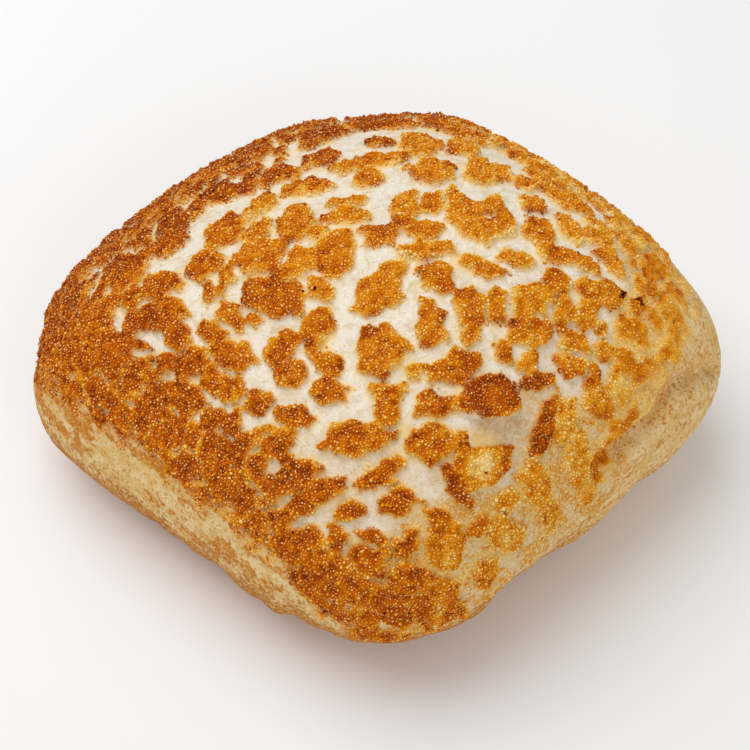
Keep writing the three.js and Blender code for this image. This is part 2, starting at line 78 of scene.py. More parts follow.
# Plates laid one by one on the rolled-out crust: across, towards the back, length, width, turn in degrees,
# and
# how much browner than its surroundings each one is.
LAID_PLATES: Ovals = (
    # Middle of the crown.
    (1.5, -20, 22, 13, 70, 0), (2, -40, 16, 14, 20, 0), (4, -58, 15, 11, 95, 0), (-6, -69.5, 19, 13, -8, 0),
    (-14, -53.5, 12.5, 11, 0, 0), (-15.5, -42, 14, 6, -40, 0), (-17, -18, 12, 7, -60, 0),
    (-17.5, -31, 13, 9, 70, 0), (-29, -36, 12, 9, 30, 0), (-26, -45.5, 11, 10, 0, 0),
    (-31, -18, 20, 13, -15, 1), (-44.5, -23, 11, 6, -45, 0), (-37, -26, 6, 4, 10, 0),
    (-46, -36.5, 16, 12, -40, 0), (-47, -48.5, 11, 9, 0, 0), (-36.5, -54, 10, 7, 10, 0),
    (-46.5, -60.5, 10, 7, 70, 0), (-26, -61, 13, 8, -30, 0), (-43, -68, 18, 6, 25, 0),
    (-32, -71, 13, 11, 0, 0), (17.5, -73, 16, 12, 0, 0.5), (18, -59, 11, 8, 10, 0.6),
    (11.5, -49, 4, 4, 0, -0.6), (16, -31, 16, 8, 100, 0.2), (18, -15.5, 12, 10, 60, 0),
    (2, 0, 10, 9, 10, 1),
    # Right of the middle.
    (33, -11.5, 14, 5.5, -18, 0.3), (28, -28, 21, 9, -80, 0.4), (36.5, -24.5, 13, 6.5, 80, 0.1),
    (47, -21.5, 12, 11, 0, 0), (48, -32, 13, 12, 0, 0), (55, -14.5, 9, 6, -40, 0.2),
    (58.5, -24.5, 10, 7, -60, 0.5), (66, -14, 11, 7, 0, 0.5), (75, -15, 11, 11, 0, 0.4),
    (66, -23.5, 9, 8, 80, 0.4), (73, -27, 5, 5, 0, 0.5), (64, -34, 10, 7, 0, -0.4), (24, -46, 18, 8, 22, 1),
    (34, -54, 17, 11, 16, 3), (39.5, -39, 8.5, 5.5, -55, 0.8), (51, -49, 14, 7, 15, 2),
    (46.5, -43, 7, 6, 90, -0.4), (63, -42, 11, 8, 0, -0.6), (55.5, -64, 20, 7, 88, 2.6),
    (63, -60, 17, 10, 90, -1.4), (34, -78, 22, 20, 45, 0.2), (42.5, -73, 15, 5, 80, 2.6),
    (26, -85, 13, 6, -55, 2.8), (30.5, -91, 6, 5, 0, 1.4), (57, -84, 20, 11, -45, -1.6),
    (72, -71, 16, 9, -60, -1.2), (82, -80, 14, 8, -45, -1.2), (66, -92, 14, 8, -40, -1.2),
    (77, -53, 15, 9, 0, 0.4), (86, -26, 15, 8, -20, 0.5), (75, -35, 9, 7, 0, 0.2),
    (84, -36, 11, 9, -30, 0.5), (92.5, -38, 11, 9, 50, 0.4), (86.5, -16, 8, 8, 0, 0.6),
    (73, -45, 10, 6, 90, 0.3), (84, -46, 12, 9, 0, 0), (95, -49, 13, 8, 70, 0.3), (89, -58, 10, 6, 0, 0.3),
    (88, -66, 12, 9, 90, 0.3),
    # Back of the crown.
    (5, 78, 20, 14, 0, 0.4), (30, 74, 20, 15, -25, 0.3), (-21, 72, 19, 16, 10, 0.3), (2, 54, 10, 7, 0, 0.6),
    (-2, 39, 27, 8.5, 10, -0.2), (-2, 28, 11, 9, 0, 0.5), (-8, 17, 12, 6, -5, 0.1), (-9, 10, 12, 7, 0, 0),
    (-22.5, 29, 17, 8, 2, 0.2), (-24, 10, 20, 12, 80, 0), (-16.5, 3, 7, 5, 10, -0.3),
    (-12, -6, 18, 11, 70, -0.2), (-23, -8, 12, 9, 50, -0.5), (-36, -4, 17, 13, 0, 0),
    (-36, 9, 13, 7, 60, -0.3), (-33, 41, 14, 12, 0, 0.2), (-19, 46, 15, 11, 0, 0),
    (-36.5, 24, 13, 8, 60, -0.7), (-48, 12, 17, 12, 60, 0.4), (-55, 37, 18, 12, 20, 0.4),
    (-44, 39, 14, 10, 80, 0.1), (15, 52, 21, 13, 100, -0.2), (18, 31, 15, 14, 0, -0.3),
    (16.5, 15, 12, 7, 85, 0.2), (9, 12, 15, 8, 80, -0.4), (15, 2.5, 10, 8, -10, 0.1),
    (27, 10, 26, 11, -65, -0.3), (37, 5.5, 15, 7.5, 42, 0.2), (35.5, 15.5, 11, 8, 55, -0.5),
    (36.5, 35, 17, 15, 0, 0), (49, 32.5, 10, 8, 0, 0.6), (30, 53, 19, 11, 75, -0.2), (50.5, 21, 9, 9, 0, 0),
    (51.5, 5, 18, 10, -85, 0.1), (65, 27, 21, 9, -28, 0), (62, 11, 15, 6.5, -75, -0.1),
    (71.5, 8, 13, 11, 0, -0.5), (16, -6.5, 15, 6, 8, 0), (43, -7, 12, 6, -15, -0.5),
    (60, -4, 20, 8, -12, 0.8), (59, 41, 18, 10, -35, 0),
    # Left of the middle.
    (-56, -2, 15, 12, 0, 0.2), (-52.5, -13.5, 9, 5, 100, 0), (-46.5, -9, 12, 6, 68, -0.8),
    (-71, 14, 18, 10, 20, 0.4), (-67, 25, 16, 10, 25, 0.3), (-72, -6, 17, 11, 0, 0.8),
    (-71, -17, 20, 12, 0, 0.1), (-84, -19, 14, 6.5, 80, 0.2), (-66, -27, 14, 11, -60, 0.2),
    (-60, -37, 12, 9.5, 30, 0.2), (-54, -45, 12, 7, -70, 0), (-52, -27, 13, 8.5, -25, 0),
    (-86, 4, 17, 14, 30, 0.4), (-97, -13, 16, 9, 80, 0.1), (-56, -58, 11, 9, 0, 0.3),
    # Front.
    (-28.5, -83, 21, 11, 30, 0.2), (-17.5, -87, 15, 9, 8, -0.2), (-26, -93.5, 10, 7, 20, 0),
    (-41, -77, 9, 7, 60, 0.3), (2, -82.5, 18, 9, 38, 0.2), (8, -93, 14, 9, 12, 0.1),
    (-8, -95, 11, 8, 0, -0.2), (-48, -84, 13, 9, 90, 0.4), (-55, -74, 13, 10, 60, 0.4),
    (12, -108, 11, 5, 90, 0), (15.5, -119.5, 13, 8, -50, 0.5), (24, -107, 22, 13, 88, -2.8),
    (34.5, -101.5, 9, 7, 40, 0.9), (46, -90, 10, 6, 20, -1.6), (48, -103, 16, 14, 0, -2.2),
    (42, -117, 12, 10, 30, -2), (25, -125, 13, 10, 0, -1.5), (21, -98, 8, 7, 0, -0.2),
    # Right corner and front right.
    (101, -36, 10, 8, 30, 0.4), (105, -47, 11, 6, 70, 0.2), (102, -27, 12, 8, 60, 0),
    (84, -73, 10, 8, 0, 0.1),
    # Left corner and front left.
    (-82.5, -9, 12, 9, 60, 0.4), (-93, -8, 11, 8, 60, 0.2), (-36.5, -84, 9, 7, 60, 0.3),
    # Under the curled flake.
    (35, -56.5, 19, 10, 16, 3),
    # Back right.
    (75, 0, 14, 9, -20, 0), (73.5, 15, 11, 8, -40, -0.6), (53, 55, 12, 6, -40, 0.3),
)

# Burnt flecks on the rolled-out crust: across, towards the back, length, width and turn in degrees.
BURNT_FLECKS: Ovals = (
    (79.8, -13.2, 4.4, 2.4, 65), (87, -13.6, 4.6, 2.2, -50), (-21, -18, 1.2, 0.9, 0),
    (-17.6, -18.3, 1.2, 0.9, 0), (20.4, -79, 1, 0.9, 0), (35.6, -81.4, 0.8, 0.7, 20),
    (-13.6, -97, 1, 0.9, 0), (-29, -102, 1.2, 0.9, 40),
)

# Tanned skin on the rolled-out crust: across, towards the back, length, width, turn in degrees, and
# how tanned it is.
TANNED_SKIN: Ovals = (
    (116, 4, 80, 112, 10, 1), (106, -30, 66, 84, 0, 1), (80, -86, 76, 76, 0, 1),
    (46, -120, 108, 78, 0, 0.9), (50, -66, 46, 32, 10, 0.55), (22, -86, 80, 44, 0, 0.3),
    (-16, -84, 60, 34, -20, 0.28), (66, -36, 42, 46, 0, 0.22),
)

# Pale middles of plates on the rolled-out crust: across, towards the back, length, width, turn in degrees,
# and how much paler each one is.
PALE_MIDDLES: Ovals = (
    (34, -79, 17, 15, 45, 0.48), (48, -34, 9, 9, 0, 0.2), (84, -46, 14, 12, 0, 0.25),
    (26, -112, 12, 11, 0, 0.2), (49, -105, 13, 12, 0, 0.15), (61, -63, 8, 12, 0, 0.12),
)


class Draw(Enum):
    """What a random draw is for. Each has its own number, so that no two draws are alike."""

    ACROSS = 0
    ALONG = 1
    CRACK = 5
    SIDE_TURN = 7
    SIDE_OUT = 8
    WANDER_X = 11
    WANDER_Y = 12
    RAGGED = 21
    CRUMBLED = 22
    PLATE = 25
    PATCH = 26
    KNOB = 27
    EDGE = 31
    LACE = 32
    STREAK = 33
    STAIN = 35
    SHORT = 36
    GRAIN = 37
    LUMP = 41
    WAVE = 42
    SKIN = 43


class Kind(Enum):
    """Kinds of bead, from the least baked to the most."""

    STRAW = 0
    GOLDEN = 1
    AMBER = 2
    BROWN = 3
    DARK = 4


def srgb(red: int, green: int, blue: int) -> Colour:
    """Turns a colour as it shows on a screen into linear light.

    Args:
        red: Red from 0 to 255.
        green: Green from 0 to 255.
        blue: Blue from 0 to 255.

    Returns:
        The three linear values from 0 to 1.
    """
    shares = np.array([red, green, blue]) / SCREEN_STEPS
    light = ((shares + LIGHT_OFFSET) / (1 + LIGHT_OFFSET)) ** LIGHT_POWER
    return tuple(np.where(shares <= DARK_LIMIT, shares / DARK_SLOPE, light).tolist())


def ease(share: np.ndarray) -> np.ndarray:
    """Bends a straight rise from 0 to 1 into a smooth one."""
    return share * share * (3 - 2 * share)


def ramp(span: Span, value: np.ndarray) -> np.ndarray:
    """Rises smoothly from 0 at the span's start to 1 at its end.

    Args:
        span: Where the rise starts and ends.
        value: The values to place on it.

    Returns:
        A share from 0 to 1 for each value.
    """
    return ease(np.clip((value - span[0]) / (span[1] - span[0]), 0, 1))


def mix(first: np.ndarray | float, second: np.ndarray | float, share: np.ndarray) -> np.ndarray:
    """Goes from the first value to the second as the share goes from 0 to 1."""
    return first + (second - first) * share


def around_compass(values: tuple[float, ...], spots: np.ndarray) -> np.ndarray:
    """Reads values between those given at even compass points, anticlockwise from the right.

    Args:
        values: The values at the compass points.
        spots: Places around the origin, one row each.

    Returns:
        A value for each spot.
    """
    points = np.array(values, dtype=float)
    turn = (np.arctan2(spots[:, 1], spots[:, 0]) / math.tau % 1) * len(points)
    start = np.floor(turn).astype(int)
    return mix(points[start % len(points)], points[(start + 1) % len(points)], ease(turn - start))


def own_shares(spots: np.ndarray, oval: Sequence[float]) -> tuple[np.ndarray, np.ndarray]:
    """Measures spots in an oval's own directions.

    Args:
        spots: Places on the rolled-out crust, one row each.
        oval: The oval's place across and towards the back, its length, its width and its turn in degrees.

    Returns:
        Shares of its half length and of its half width, from its middle.
    """
    x, y, length, width, turn = oval
    across, back = spots[:, 0] - x, spots[:, 1] - y
    cosine, sine = math.cos(math.radians(turn)), math.sin(math.radians(turn))
    return (across * cosine + back * sine) / (length / 2), (back * cosine - across * sine) / (width / 2)


@dataclass(frozen=True)
class Chance:
    """Fixed draws for the cells of the layout, the same on each run."""

    seed: int = 4882
    word_bits: int = 32
    column_factor: int = 374761393
    row_factor: int = 668265263
    seed_factor: int = 3266489917
    rounds: tuple[tuple[int, int], ...] = ((15, 2246822519), (13, 3266489917))
    last_shift: int = 16

    def draw(self, i: np.ndarray, j: np.ndarray, purpose: Draw) -> np.ndarray:
        """Draws a number from 0 to 1 for each cell.

        Args:
            i: Columns of the cells.
            j: Rows of the cells.
            purpose: What the draw is for.

        Returns:
            One number for each cell.
        """
        word, whole = np.uint32, 2**self.word_bits
        columns, rows = ((cells.astype(np.int64) % whole).astype(word) for cells in (i, j))
        with np.errstate(over="ignore"):
            mixed = columns * word(self.column_factor) + rows * word(self.row_factor)
            mixed = mixed + word(self.seed + purpose.value) * word(self.seed_factor)
            for shift, factor in self.rounds:
                mixed = (mixed ^ (mixed >> word(shift))) * word(factor)
            mixed = mixed ^ (mixed >> word(self.last_shift))
        return mixed.astype(np.float64) / whole

    def noise(self, spots: np.ndarray, grain: float, purpose: Draw, around: int | None = None) -> np.ndarray:
        """Gives smooth noise over a plane.

        Args:
            spots: Places on the plane, one row each.
            grain: Size of the noise's cells.
            purpose: What the draw is for.
            around: Number of cells after which the noise meets itself across, if it does.

        Returns:
            A value from -1 to 1 for each spot.
        """
        scaled = spots / grain
        cell = np.floor(scaled).astype(np.int64)
        share = ease(scaled - cell)
        here, beyond = cell[:, 0], cell[:, 0] + 1
        if around:
            here, beyond = here % around, beyond % around
        low, high = cell[:, 1], cell[:, 1] + 1
        near = mix(self.draw(here, low, purpose), self.draw(beyond, low, purpose), share[:, 0])
        far = mix(self.draw(here, high, purpose), self.draw(beyond, high, purpose), share[:, 0])
        return mix(near, far, share[:, 1]) * 2 - 1


@dataclass
class LoafForm:
    """The smooth loaf: a rounded square in plan, domed over a flat base, its crown leaning to the right."""

    reach_left: float = 111.5
    reach_right: float = 105.5
    reach_front: float = 92.5
    reach_back: float = 102
    fullness_front_left: float = 4
    fullness_front_right: float = 4.2
    fullness_back_left: float = 2.5
    fullness_back_right: float = 3.1
    height: float = 90.5
    widest_height: float = 32.5
    base_share: float = 0.675
    crown_roundness: float = 1.88
    lean_x: float = 15.5
    lean_y: float = 1
    fine_above: Span = (2, 14)
    base_fineness: float = 0.04
    profile_steps: int = 600

    def plan_reach(self, angle: np.ndarray) -> np.ndarray:
        """Gives how far the widest line lies from the loaf's axis.

        Args:
            angle: Angles around the axis, anticlockwise from the right.

        Returns:
            A length for each angle.
        """
        across, along = np.cos(angle), np.sin(angle)
        right, back = across >= 0, along >= 0
        x = across / np.where(right, self.reach_right, self.reach_left)
        y = along / np.where(back, self.reach_back, self.reach_front)
        back_fullness = np.where(right, self.fullness_back_right, self.fullness_back_left)
        front_fullness = np.where(right, self.fullness_front_right, self.fullness_front_left)
        fullness = np.where(back, back_fullness, front_fullness)
        return (2 / (np.abs(x + y) ** fullness + np.abs(x - y) ** fullness)) ** (1 / fullness)

    def profile(self) -> tuple[np.ndarray, np.ndarray, np.ndarray]:
        """Lays out the profile from the top of the crown to the middle of the base.

        Returns:
            For each row, the share of the mesh above it, its reach as a share of the widest line, and its
            height.
        """
        tilt = np.linspace(math.pi / 2, -math.pi / 2, self.profile_steps + 1)
        out, up = np.cos(tilt).clip(0), np.abs(np.sin(tilt))
        crown = tilt >= 0
        crown_height = self.widest_height + (self.height - self.widest_height) * up
        reach = np.where(crown, out ** (2 / self.crown_roundness), mix(self.base_share, 1, out))
        z = np.where(crown, crown_height, self.widest_height * (1 - up))
        base = self.base_share * np.linspace(1, 0, self.profile_steps + 1)[1:]
        reach, z = np.append(reach, base), np.append(z, np.zeros_like(base))
        mean_reach = (self.reach_left + self.reach_right + self.reach_front + self.reach_back) / 4
        fineness = mix(self.base_fineness, 1, ramp(self.fine_above, z[1:]))
        slope = np.hypot(np.diff(reach) * mean_reach, np.diff(z))
        area = np.append(0, np.cumsum(fineness * slope * (reach[1:] + reach[:-1])))
        return area / area[-1], reach, z

    def place(self, ball: np.ndarray) -> np.ndarray:
        """Moves points of a ball of radius 1 to the smooth loaf.

        Args:
            ball: Points on the ball, one row each.

        Returns:
            Their places on the loaf, with the middle of its box over the origin.
        """
        above, reach, z = self.profile()
        depth = (1 - ball[:, 2].clip(-1, 1)) / 2
        height = np.interp(depth, above, z)
        angle = np.arctan2(ball[:, 1], ball[:, 0])
        out = np.interp(depth, above, reach) * self.plan_reach(angle)
        lean = (height / self.height) ** 2
        x = out * np.cos(angle) + self.lean_x * lean
        y = out * np.sin(angle) + self.lean_y * lean
        places = np.stack([x, y, height], axis=1)
        places[:, :2] -= (places[:, :2].min(axis=0) + places[:, :2].max(axis=0)) / 2
        return places


@dataclass
class Crackle:
    """The paste's plates: laid ones on the crown and, beyond, staggered rows with cracks of many widths."""

    height: float
    chance: Chance
    unroll: float = 0.7
    laid: Ovals = LAID_PLATES
    laid_wander: float = 1.2
    laid_sides: int = 6
    side_turn: float = 0.6
    side_out: Span = (0.8, 1.08)
    laid_middle: tuple[float, float] = (0, -10)
    laid_reach: tuple[float, ...] = (84, 84, 80, 78, 80, 68, 67, 74, 92, 68, 66, 88, 90, 130, 150, 130)
    laid_border: float = 3
    laid_spread: float = 0.4
    laid_margin: float = 6
    pitch_x: float = 14
    pitch_y: float = 12.2
    jitter: float = 0.9
    near_rows: int = 2
    wander_reach: float = 3.2
    wander_grain: float = 10
    plate_inside: float = 9
    crack_crown: float = 1.8
    crack_closed: float = 0.15
    crack_right: float = 0.8
    crack_least: float = 0.35
    crack_spread: float = 1.9
    uncracked: float = 0.2
    lean_x: float = 0.75
    lean_y: float = 0.66
    front_left_closes: Span = (55, 73)
    back_left_narrows: Span = (52, 80)
    back_left_share: float = 0.6
    front_narrows: Span = (78, 92)
    front_share: float = 0.85
    right_starts: Span = (45, 80)
    edge_heights: tuple[float, ...] = (62, 52, 46, 42, 40, 40, 40, 38, 36, 45, 46, 44, 22, 27, 32, 57)
    edge_taper: float = 7
    edge_wave: float = 4.5
    edge_grain: float = 6
    ragged_reach: float = 1.2
    ragged_grain: float = 3.3
    crumbled_reach: float = 0.6
    crumbled_grain: float = 1.5
    knob_grain: float = 1.9

    def rolled_out(self, places: np.ndarray) -> np.ndarray:
        """Lays places on the crust out flat."""
        return places[:, :2] * (1 + self.unroll * (self.height - places[:, 2:3]) / self.height)

    def front_left(self, places: np.ndarray) -> np.ndarray:
        """Gives how far places lie towards the front left side."""
        return -(self.lean_x * places[:, 0] + self.lean_y * places[:, 1])

    def back_left(self, places: np.ndarray) -> np.ndarray:
        """Gives how far places lie towards the back left side."""
        return -(self.lean_x * places[:, 0] - self.lean_y * places[:, 1])

    def half_crack(self, places: np.ndarray) -> np.ndarray:
        """Gives half the usual width of a crack.

        Args:
            places: Places on the crust.

        Returns:
            A length for each place.
        """
        spring = 1 - ramp(self.front_left_closes, self.front_left(places))
        spring *= 1 - self.back_left_share * ramp(self.back_left_narrows, self.back_left(places))
        spring *= 1 - self.front_share * ramp(self.front_narrows, -places[:, 1])
        sprung = mix(self.crack_closed, self.crack_crown, spring)
        return mix(sprung, self.crack_right, ramp(self.right_starts, places[:, 0]))

    def plate_centre(self, i: np.ndarray, j: np.ndarray) -> np.ndarray:
        """Gives the centres of plates.

        Args:
            i: Columns of the plates.
            j: Rows of the plates.

        Returns:
            Places on the rolled-out crust.
        """
        across = i + (j & 1) / 2 + self.jitter * (self.chance.draw(i, j, Draw.ACROSS) - 0.5)
        along = j + self.jitter * (self.chance.draw(i, j, Draw.ALONG) - 0.5)
        return np.stack([across * self.pitch_x, along * self.pitch_y], axis=1)

    def room_in_laid(self, number: int, spots: np.ndarray) -> np.ndarray:
        """Measures how far inside one laid plate spots lie. The plate is a polygon about its oval.

        Args:
            number: The plate's place in the list.
            spots: Places on the rolled-out crust.

        Returns:
            A length for each spot, below zero outside the plate.
        """
        *oval, _ = self.laid[number]
        half_length, half_width = (size / 2 for size in oval[2:4])
        sides = np.arange(self.laid_sides)
        stray = self.side_turn * (self.chance.draw(0 * sides + number, sides, Draw.SIDE_TURN) - 0.5)
        out = mix(*self.side_out, self.chance.draw(0 * sides + number, sides, Draw.SIDE_OUT))
        angle = math.tau * (sides + stray) / self.laid_sides
        along, across = own_shares(spots, oval)
        rooms = out - np.outer(along, np.cos(angle)) - np.outer(across, np.sin(angle))
        return (rooms / np.hypot(np.cos(angle) / half_length, np.sin(angle) / half_width)).min(axis=1)

    def inside_laid(self, spots: np.ndarray) -> tuple[np.ndarray, np.ndarray]:
        """Measures how far inside a laid plate each spot lies.

        Args:
            spots: Places on the rolled-out crust.

        Returns:
            A length, below zero in a crack, and how much browner the plate is than its surroundings.
        """
        inside = np.full(len(spots), -self.plate_inside, dtype=float)
        brown = np.zeros(len(spots))
        numbers = np.arange(len(self.laid))
        own = 2 * self.chance.draw(numbers, numbers, Draw.PLATE) - 1
        for number, (x, y, length, _, _, browner) in enumerate(self.laid):
            away = np.hypot(spots[:, 0] - x, spots[:, 1] - y)
            near = np.flatnonzero(away < length / 2 + self.laid_margin)
            room = self.room_in_laid(number, spots[near])
            deeper = room > inside[near]
            inside[near[deeper]] = room[deeper]
            brown[near[deeper]] = browner + self.laid_spread * own[number]
        return inside, brown

    def inside_plate(self, places: np.ndarray) -> tuple[np.ndarray, np.ndarray]:
        """Measures how far inside its plate each place lies.

        Args:
            places: Places on the crust.

        Returns:
            A length, below zero in a crack, and how much browner the plate is than its surroundings.
        """
        flat = self.rolled_out(places)
        wander_x = self.chance.noise(flat, self.wander_grain, Draw.WANDER_X)
        wander_y = self.chance.noise(flat, self.wander_grain, Draw.WANDER_Y)
        wander = np.stack([wander_x, wander_y], axis=1)
        laid, laid_brown = self.inside_laid(flat + self.laid_wander * wander)
        row, row_brown = self.inside_row(flat + self.wander_reach * wander, self.half_crack(places))
        away = flat - np.array(self.laid_middle)
        past = np.linalg.norm(away, axis=1) - around_compass(self.laid_reach, away)
        row = row - 2 * self.plate_inside * (1 - ramp((-self.laid_border, self.laid_border), past))
        brown = np.where(laid > row, laid_brown, row_brown)
        inside = np.maximum(laid, row)
        inside += self.ragged_reach * self.chance.noise(flat, self.ragged_grain, Draw.RAGGED)
        inside += self.crumbled_reach * self.chance.noise(flat, self.crumbled_grain, Draw.CRUMBLED)
        return inside, brown

    def inside_row(self, spots: np.ndarray, half_crack: np.ndarray) -> tuple[np.ndarray, np.ndarray]:
        """Measures how far inside a plate of the staggered rows each spot lies.

        Args:
            spots: Places on the rolled-out crust.
            half_crack: Half the usual width of a crack at each spot.

        Returns:
            A length, below zero in a crack, and how much browner the plate is than its surroundings.
        """
        column = np.floor(spots[:, 0] / self.pitch_x + 0.5).astype(np.int64)
        row = np.floor(spots[:, 1] / self.pitch_y + 0.5).astype(np.int64)
        near = range(-self.near_rows, self.near_rows + 1)
        cells = [(column + i, row + j) for j in near for i in near]
        centres = [self.plate_centre(i, j) for i, j in cells]
        away = np.stack([((centre - spots) ** 2).sum(axis=1) for centre in centres])
        nearest = away.argmin(axis=0)
        every = np.arange(len(spots))
        own_centre = np.stack(centres)[nearest, every]
        own_i = np.stack([i for i, _ in cells])[nearest, every]
        own_j = np.stack([j for _, j in cells])[nearest, every]
        inside = np.full(len(spots), self.plate_inside, dtype=float)
        for k, (i, j) in enumerate(cells):
            apart = np.linalg.norm(centres[k] - own_centre, axis=1).clip(LEAST_LENGTH)
            wall = (away[k] - away[nearest, every]) / (2 * apart)
            spread = self.chance.draw(i + own_i, j + own_j, Draw.CRACK)
            room = wall - half_crack * (self.crack_least + self.crack_spread * spread * spread)
            joined = (nearest == k) | (spread < self.uncracked)
            inside = np.where(joined, inside, np.minimum(inside, room))
        return inside, 2 * self.chance.draw(own_i, own_j, Draw.PLATE) - 1

    def knobs(self, flat: np.ndarray) -> np.ndarray:
        """Gives the clumps of the paste, from -1 between them to 1 on top, on the rolled-out crust."""
        return self.chance.noise(flat, self.knob_grain, Draw.KNOB)

    def paste_share(self, places: np.ndarray) -> np.ndarray:
        """Gives how much of the paste's thickness is there, as it thins out to its lower edge.

        Args:
            places: Places on the crust.

        Returns:
            A share from 0 to 1 for each place.
        """
        edge = around_compass(self.edge_heights, places)
        wave = self.edge_wave * self.chance.noise(self.rolled_out(places), self.edge_grain, Draw.EDGE)
        return ramp((0, self.edge_taper), places[:, 2] - edge + wave)


@dataclass
class CurledFlake:
    """A flake of crust on the right of the crown whose front edge has curled up."""

    x: float = 31.5
    y: float = -50
    length: float = 18
    width: float = 11
    turn: float = 0.28
    rise: float = 3.6
    least_height: float = 32.5
    ends: Span = (0.7, 1)
    front: Span = (-1, -0.8)
    back: Span = (-0.6, 1)
    bare_front: Span = (-2.3, -0.95)
    bare_depth: float = -1.5
    overhang: float = 3
    overhang_back: Span = (-0.8, 0)

    def across_it(self, places: np.ndarray) -> tuple[np.ndarray, np.ndarray]:
        """Measures places in the flake's own directions.

        Args:
            places: Places on the crust.

        Returns:
            Shares of its half length and of its half width, from its middle.
        """
        x, y = places[:, 0] - self.x, places[:, 1] - self.y
        along = x * math.cos(self.turn) + y * math.sin(self.turn)
        across = y * math.cos(self.turn) - x * math.sin(self.turn)
        return np.abs(along) / (self.length / 2), across / (self.width / 2)

    def lift(self, places: np.ndarray) -> np.ndarray:
        """Gives how far the flake's curl lifts each place.

        Args:
            places: Places on the crust.

        Returns:
            A height for each place.
        """
        ends, across = self.across_it(places)
        lifted = ramp(self.front, across) * (1 - ramp(self.back, across)) * (1 - ramp(self.ends, ends))
        return np.where(places[:, 2] < self.least_height, 0, self.rise * lifted)

    def lean(self, places: np.ndarray) -> np.ndarray:
        """Gives how far the curled edge leans over the skin in front of it.

        Args:
            places: Places on the crust.

        Returns:
            A move for each place, one row each.
        """
        ends, across = self.across_it(places)
        edge = ramp(self.front, across) * (1 - ramp(self.overhang_back, across)) * (1 - ramp(self.ends, ends))
        reach = np.where(places[:, 2] < self.least_height, 0, self.overhang * edge)
        return np.outer(reach, (math.sin(self.turn), -math.cos(self.turn), 0))

    def cover(self, places: np.ndarray, inside: np.ndarray) -> np.ndarray:
        """Bares the skin under the flake's front edge.

        Args:
            places: Places on the crust.
            inside: How far inside its plate each place lies.

        Returns:
            The lengths, with none of the paste under the edge.
        """
        ends, across = self.across_it(places)
        under = (across > self.bare_front[0]) & (across < self.bare_front[1]) & (ends < 1)
        under &= places[:, 2] > self.least_height
        return np.where(under, np.minimum(inside, self.bare_depth), inside)


@dataclass
class SideFold:
    """The fold under the right corner, where the crown overhangs the side."""

    path: tuple[Place, ...] = (
        (106, -12, 44), (96, -24, 52.5), (88, -31, 55), (83, -39, 51.5), (74.5, -46.5, 51.5), (65, -54.5, 52),
    )
    depth: float = 5.5
    half_width: float = 6
    steps: int = 12

    def curve(self) -> np.ndarray:
        """Draws a smooth curve through the fold's path: between each two points, a cubic in t.

        Returns:
            Points of the curve, one row each.
        """
        path = np.array(self.path, dtype=float)
        ends = np.vstack([2 * path[0] - path[1], path, 2 * path[-1] - path[-2]])
        t = np.linspace(0, 1, self.steps)[:, None]
        runs = []
        for before, start, stop, after in zip(ends, ends[1:], ends[2:], ends[3:]):
            bend = 2 * before - 5 * start + 4 * stop - after
            twist = 3 * (start - stop) + after - before
            runs.append(start + 0.5 * ((stop - before) * t + bend * t**2 + twist * t**3))
        return np.vstack(runs)

    def away(self, places: np.ndarray) -> np.ndarray:
        """Gives how far each place lies from the fold."""
        return np.min([np.linalg.norm(places - point, axis=1) for point in self.curve()], axis=0)

    def sink(self, places: np.ndarray) -> np.ndarray:
        """Gives how deep the fold is at each place."""
        return self.depth * (1 - ramp((0, self.half_width), self.away(places)))


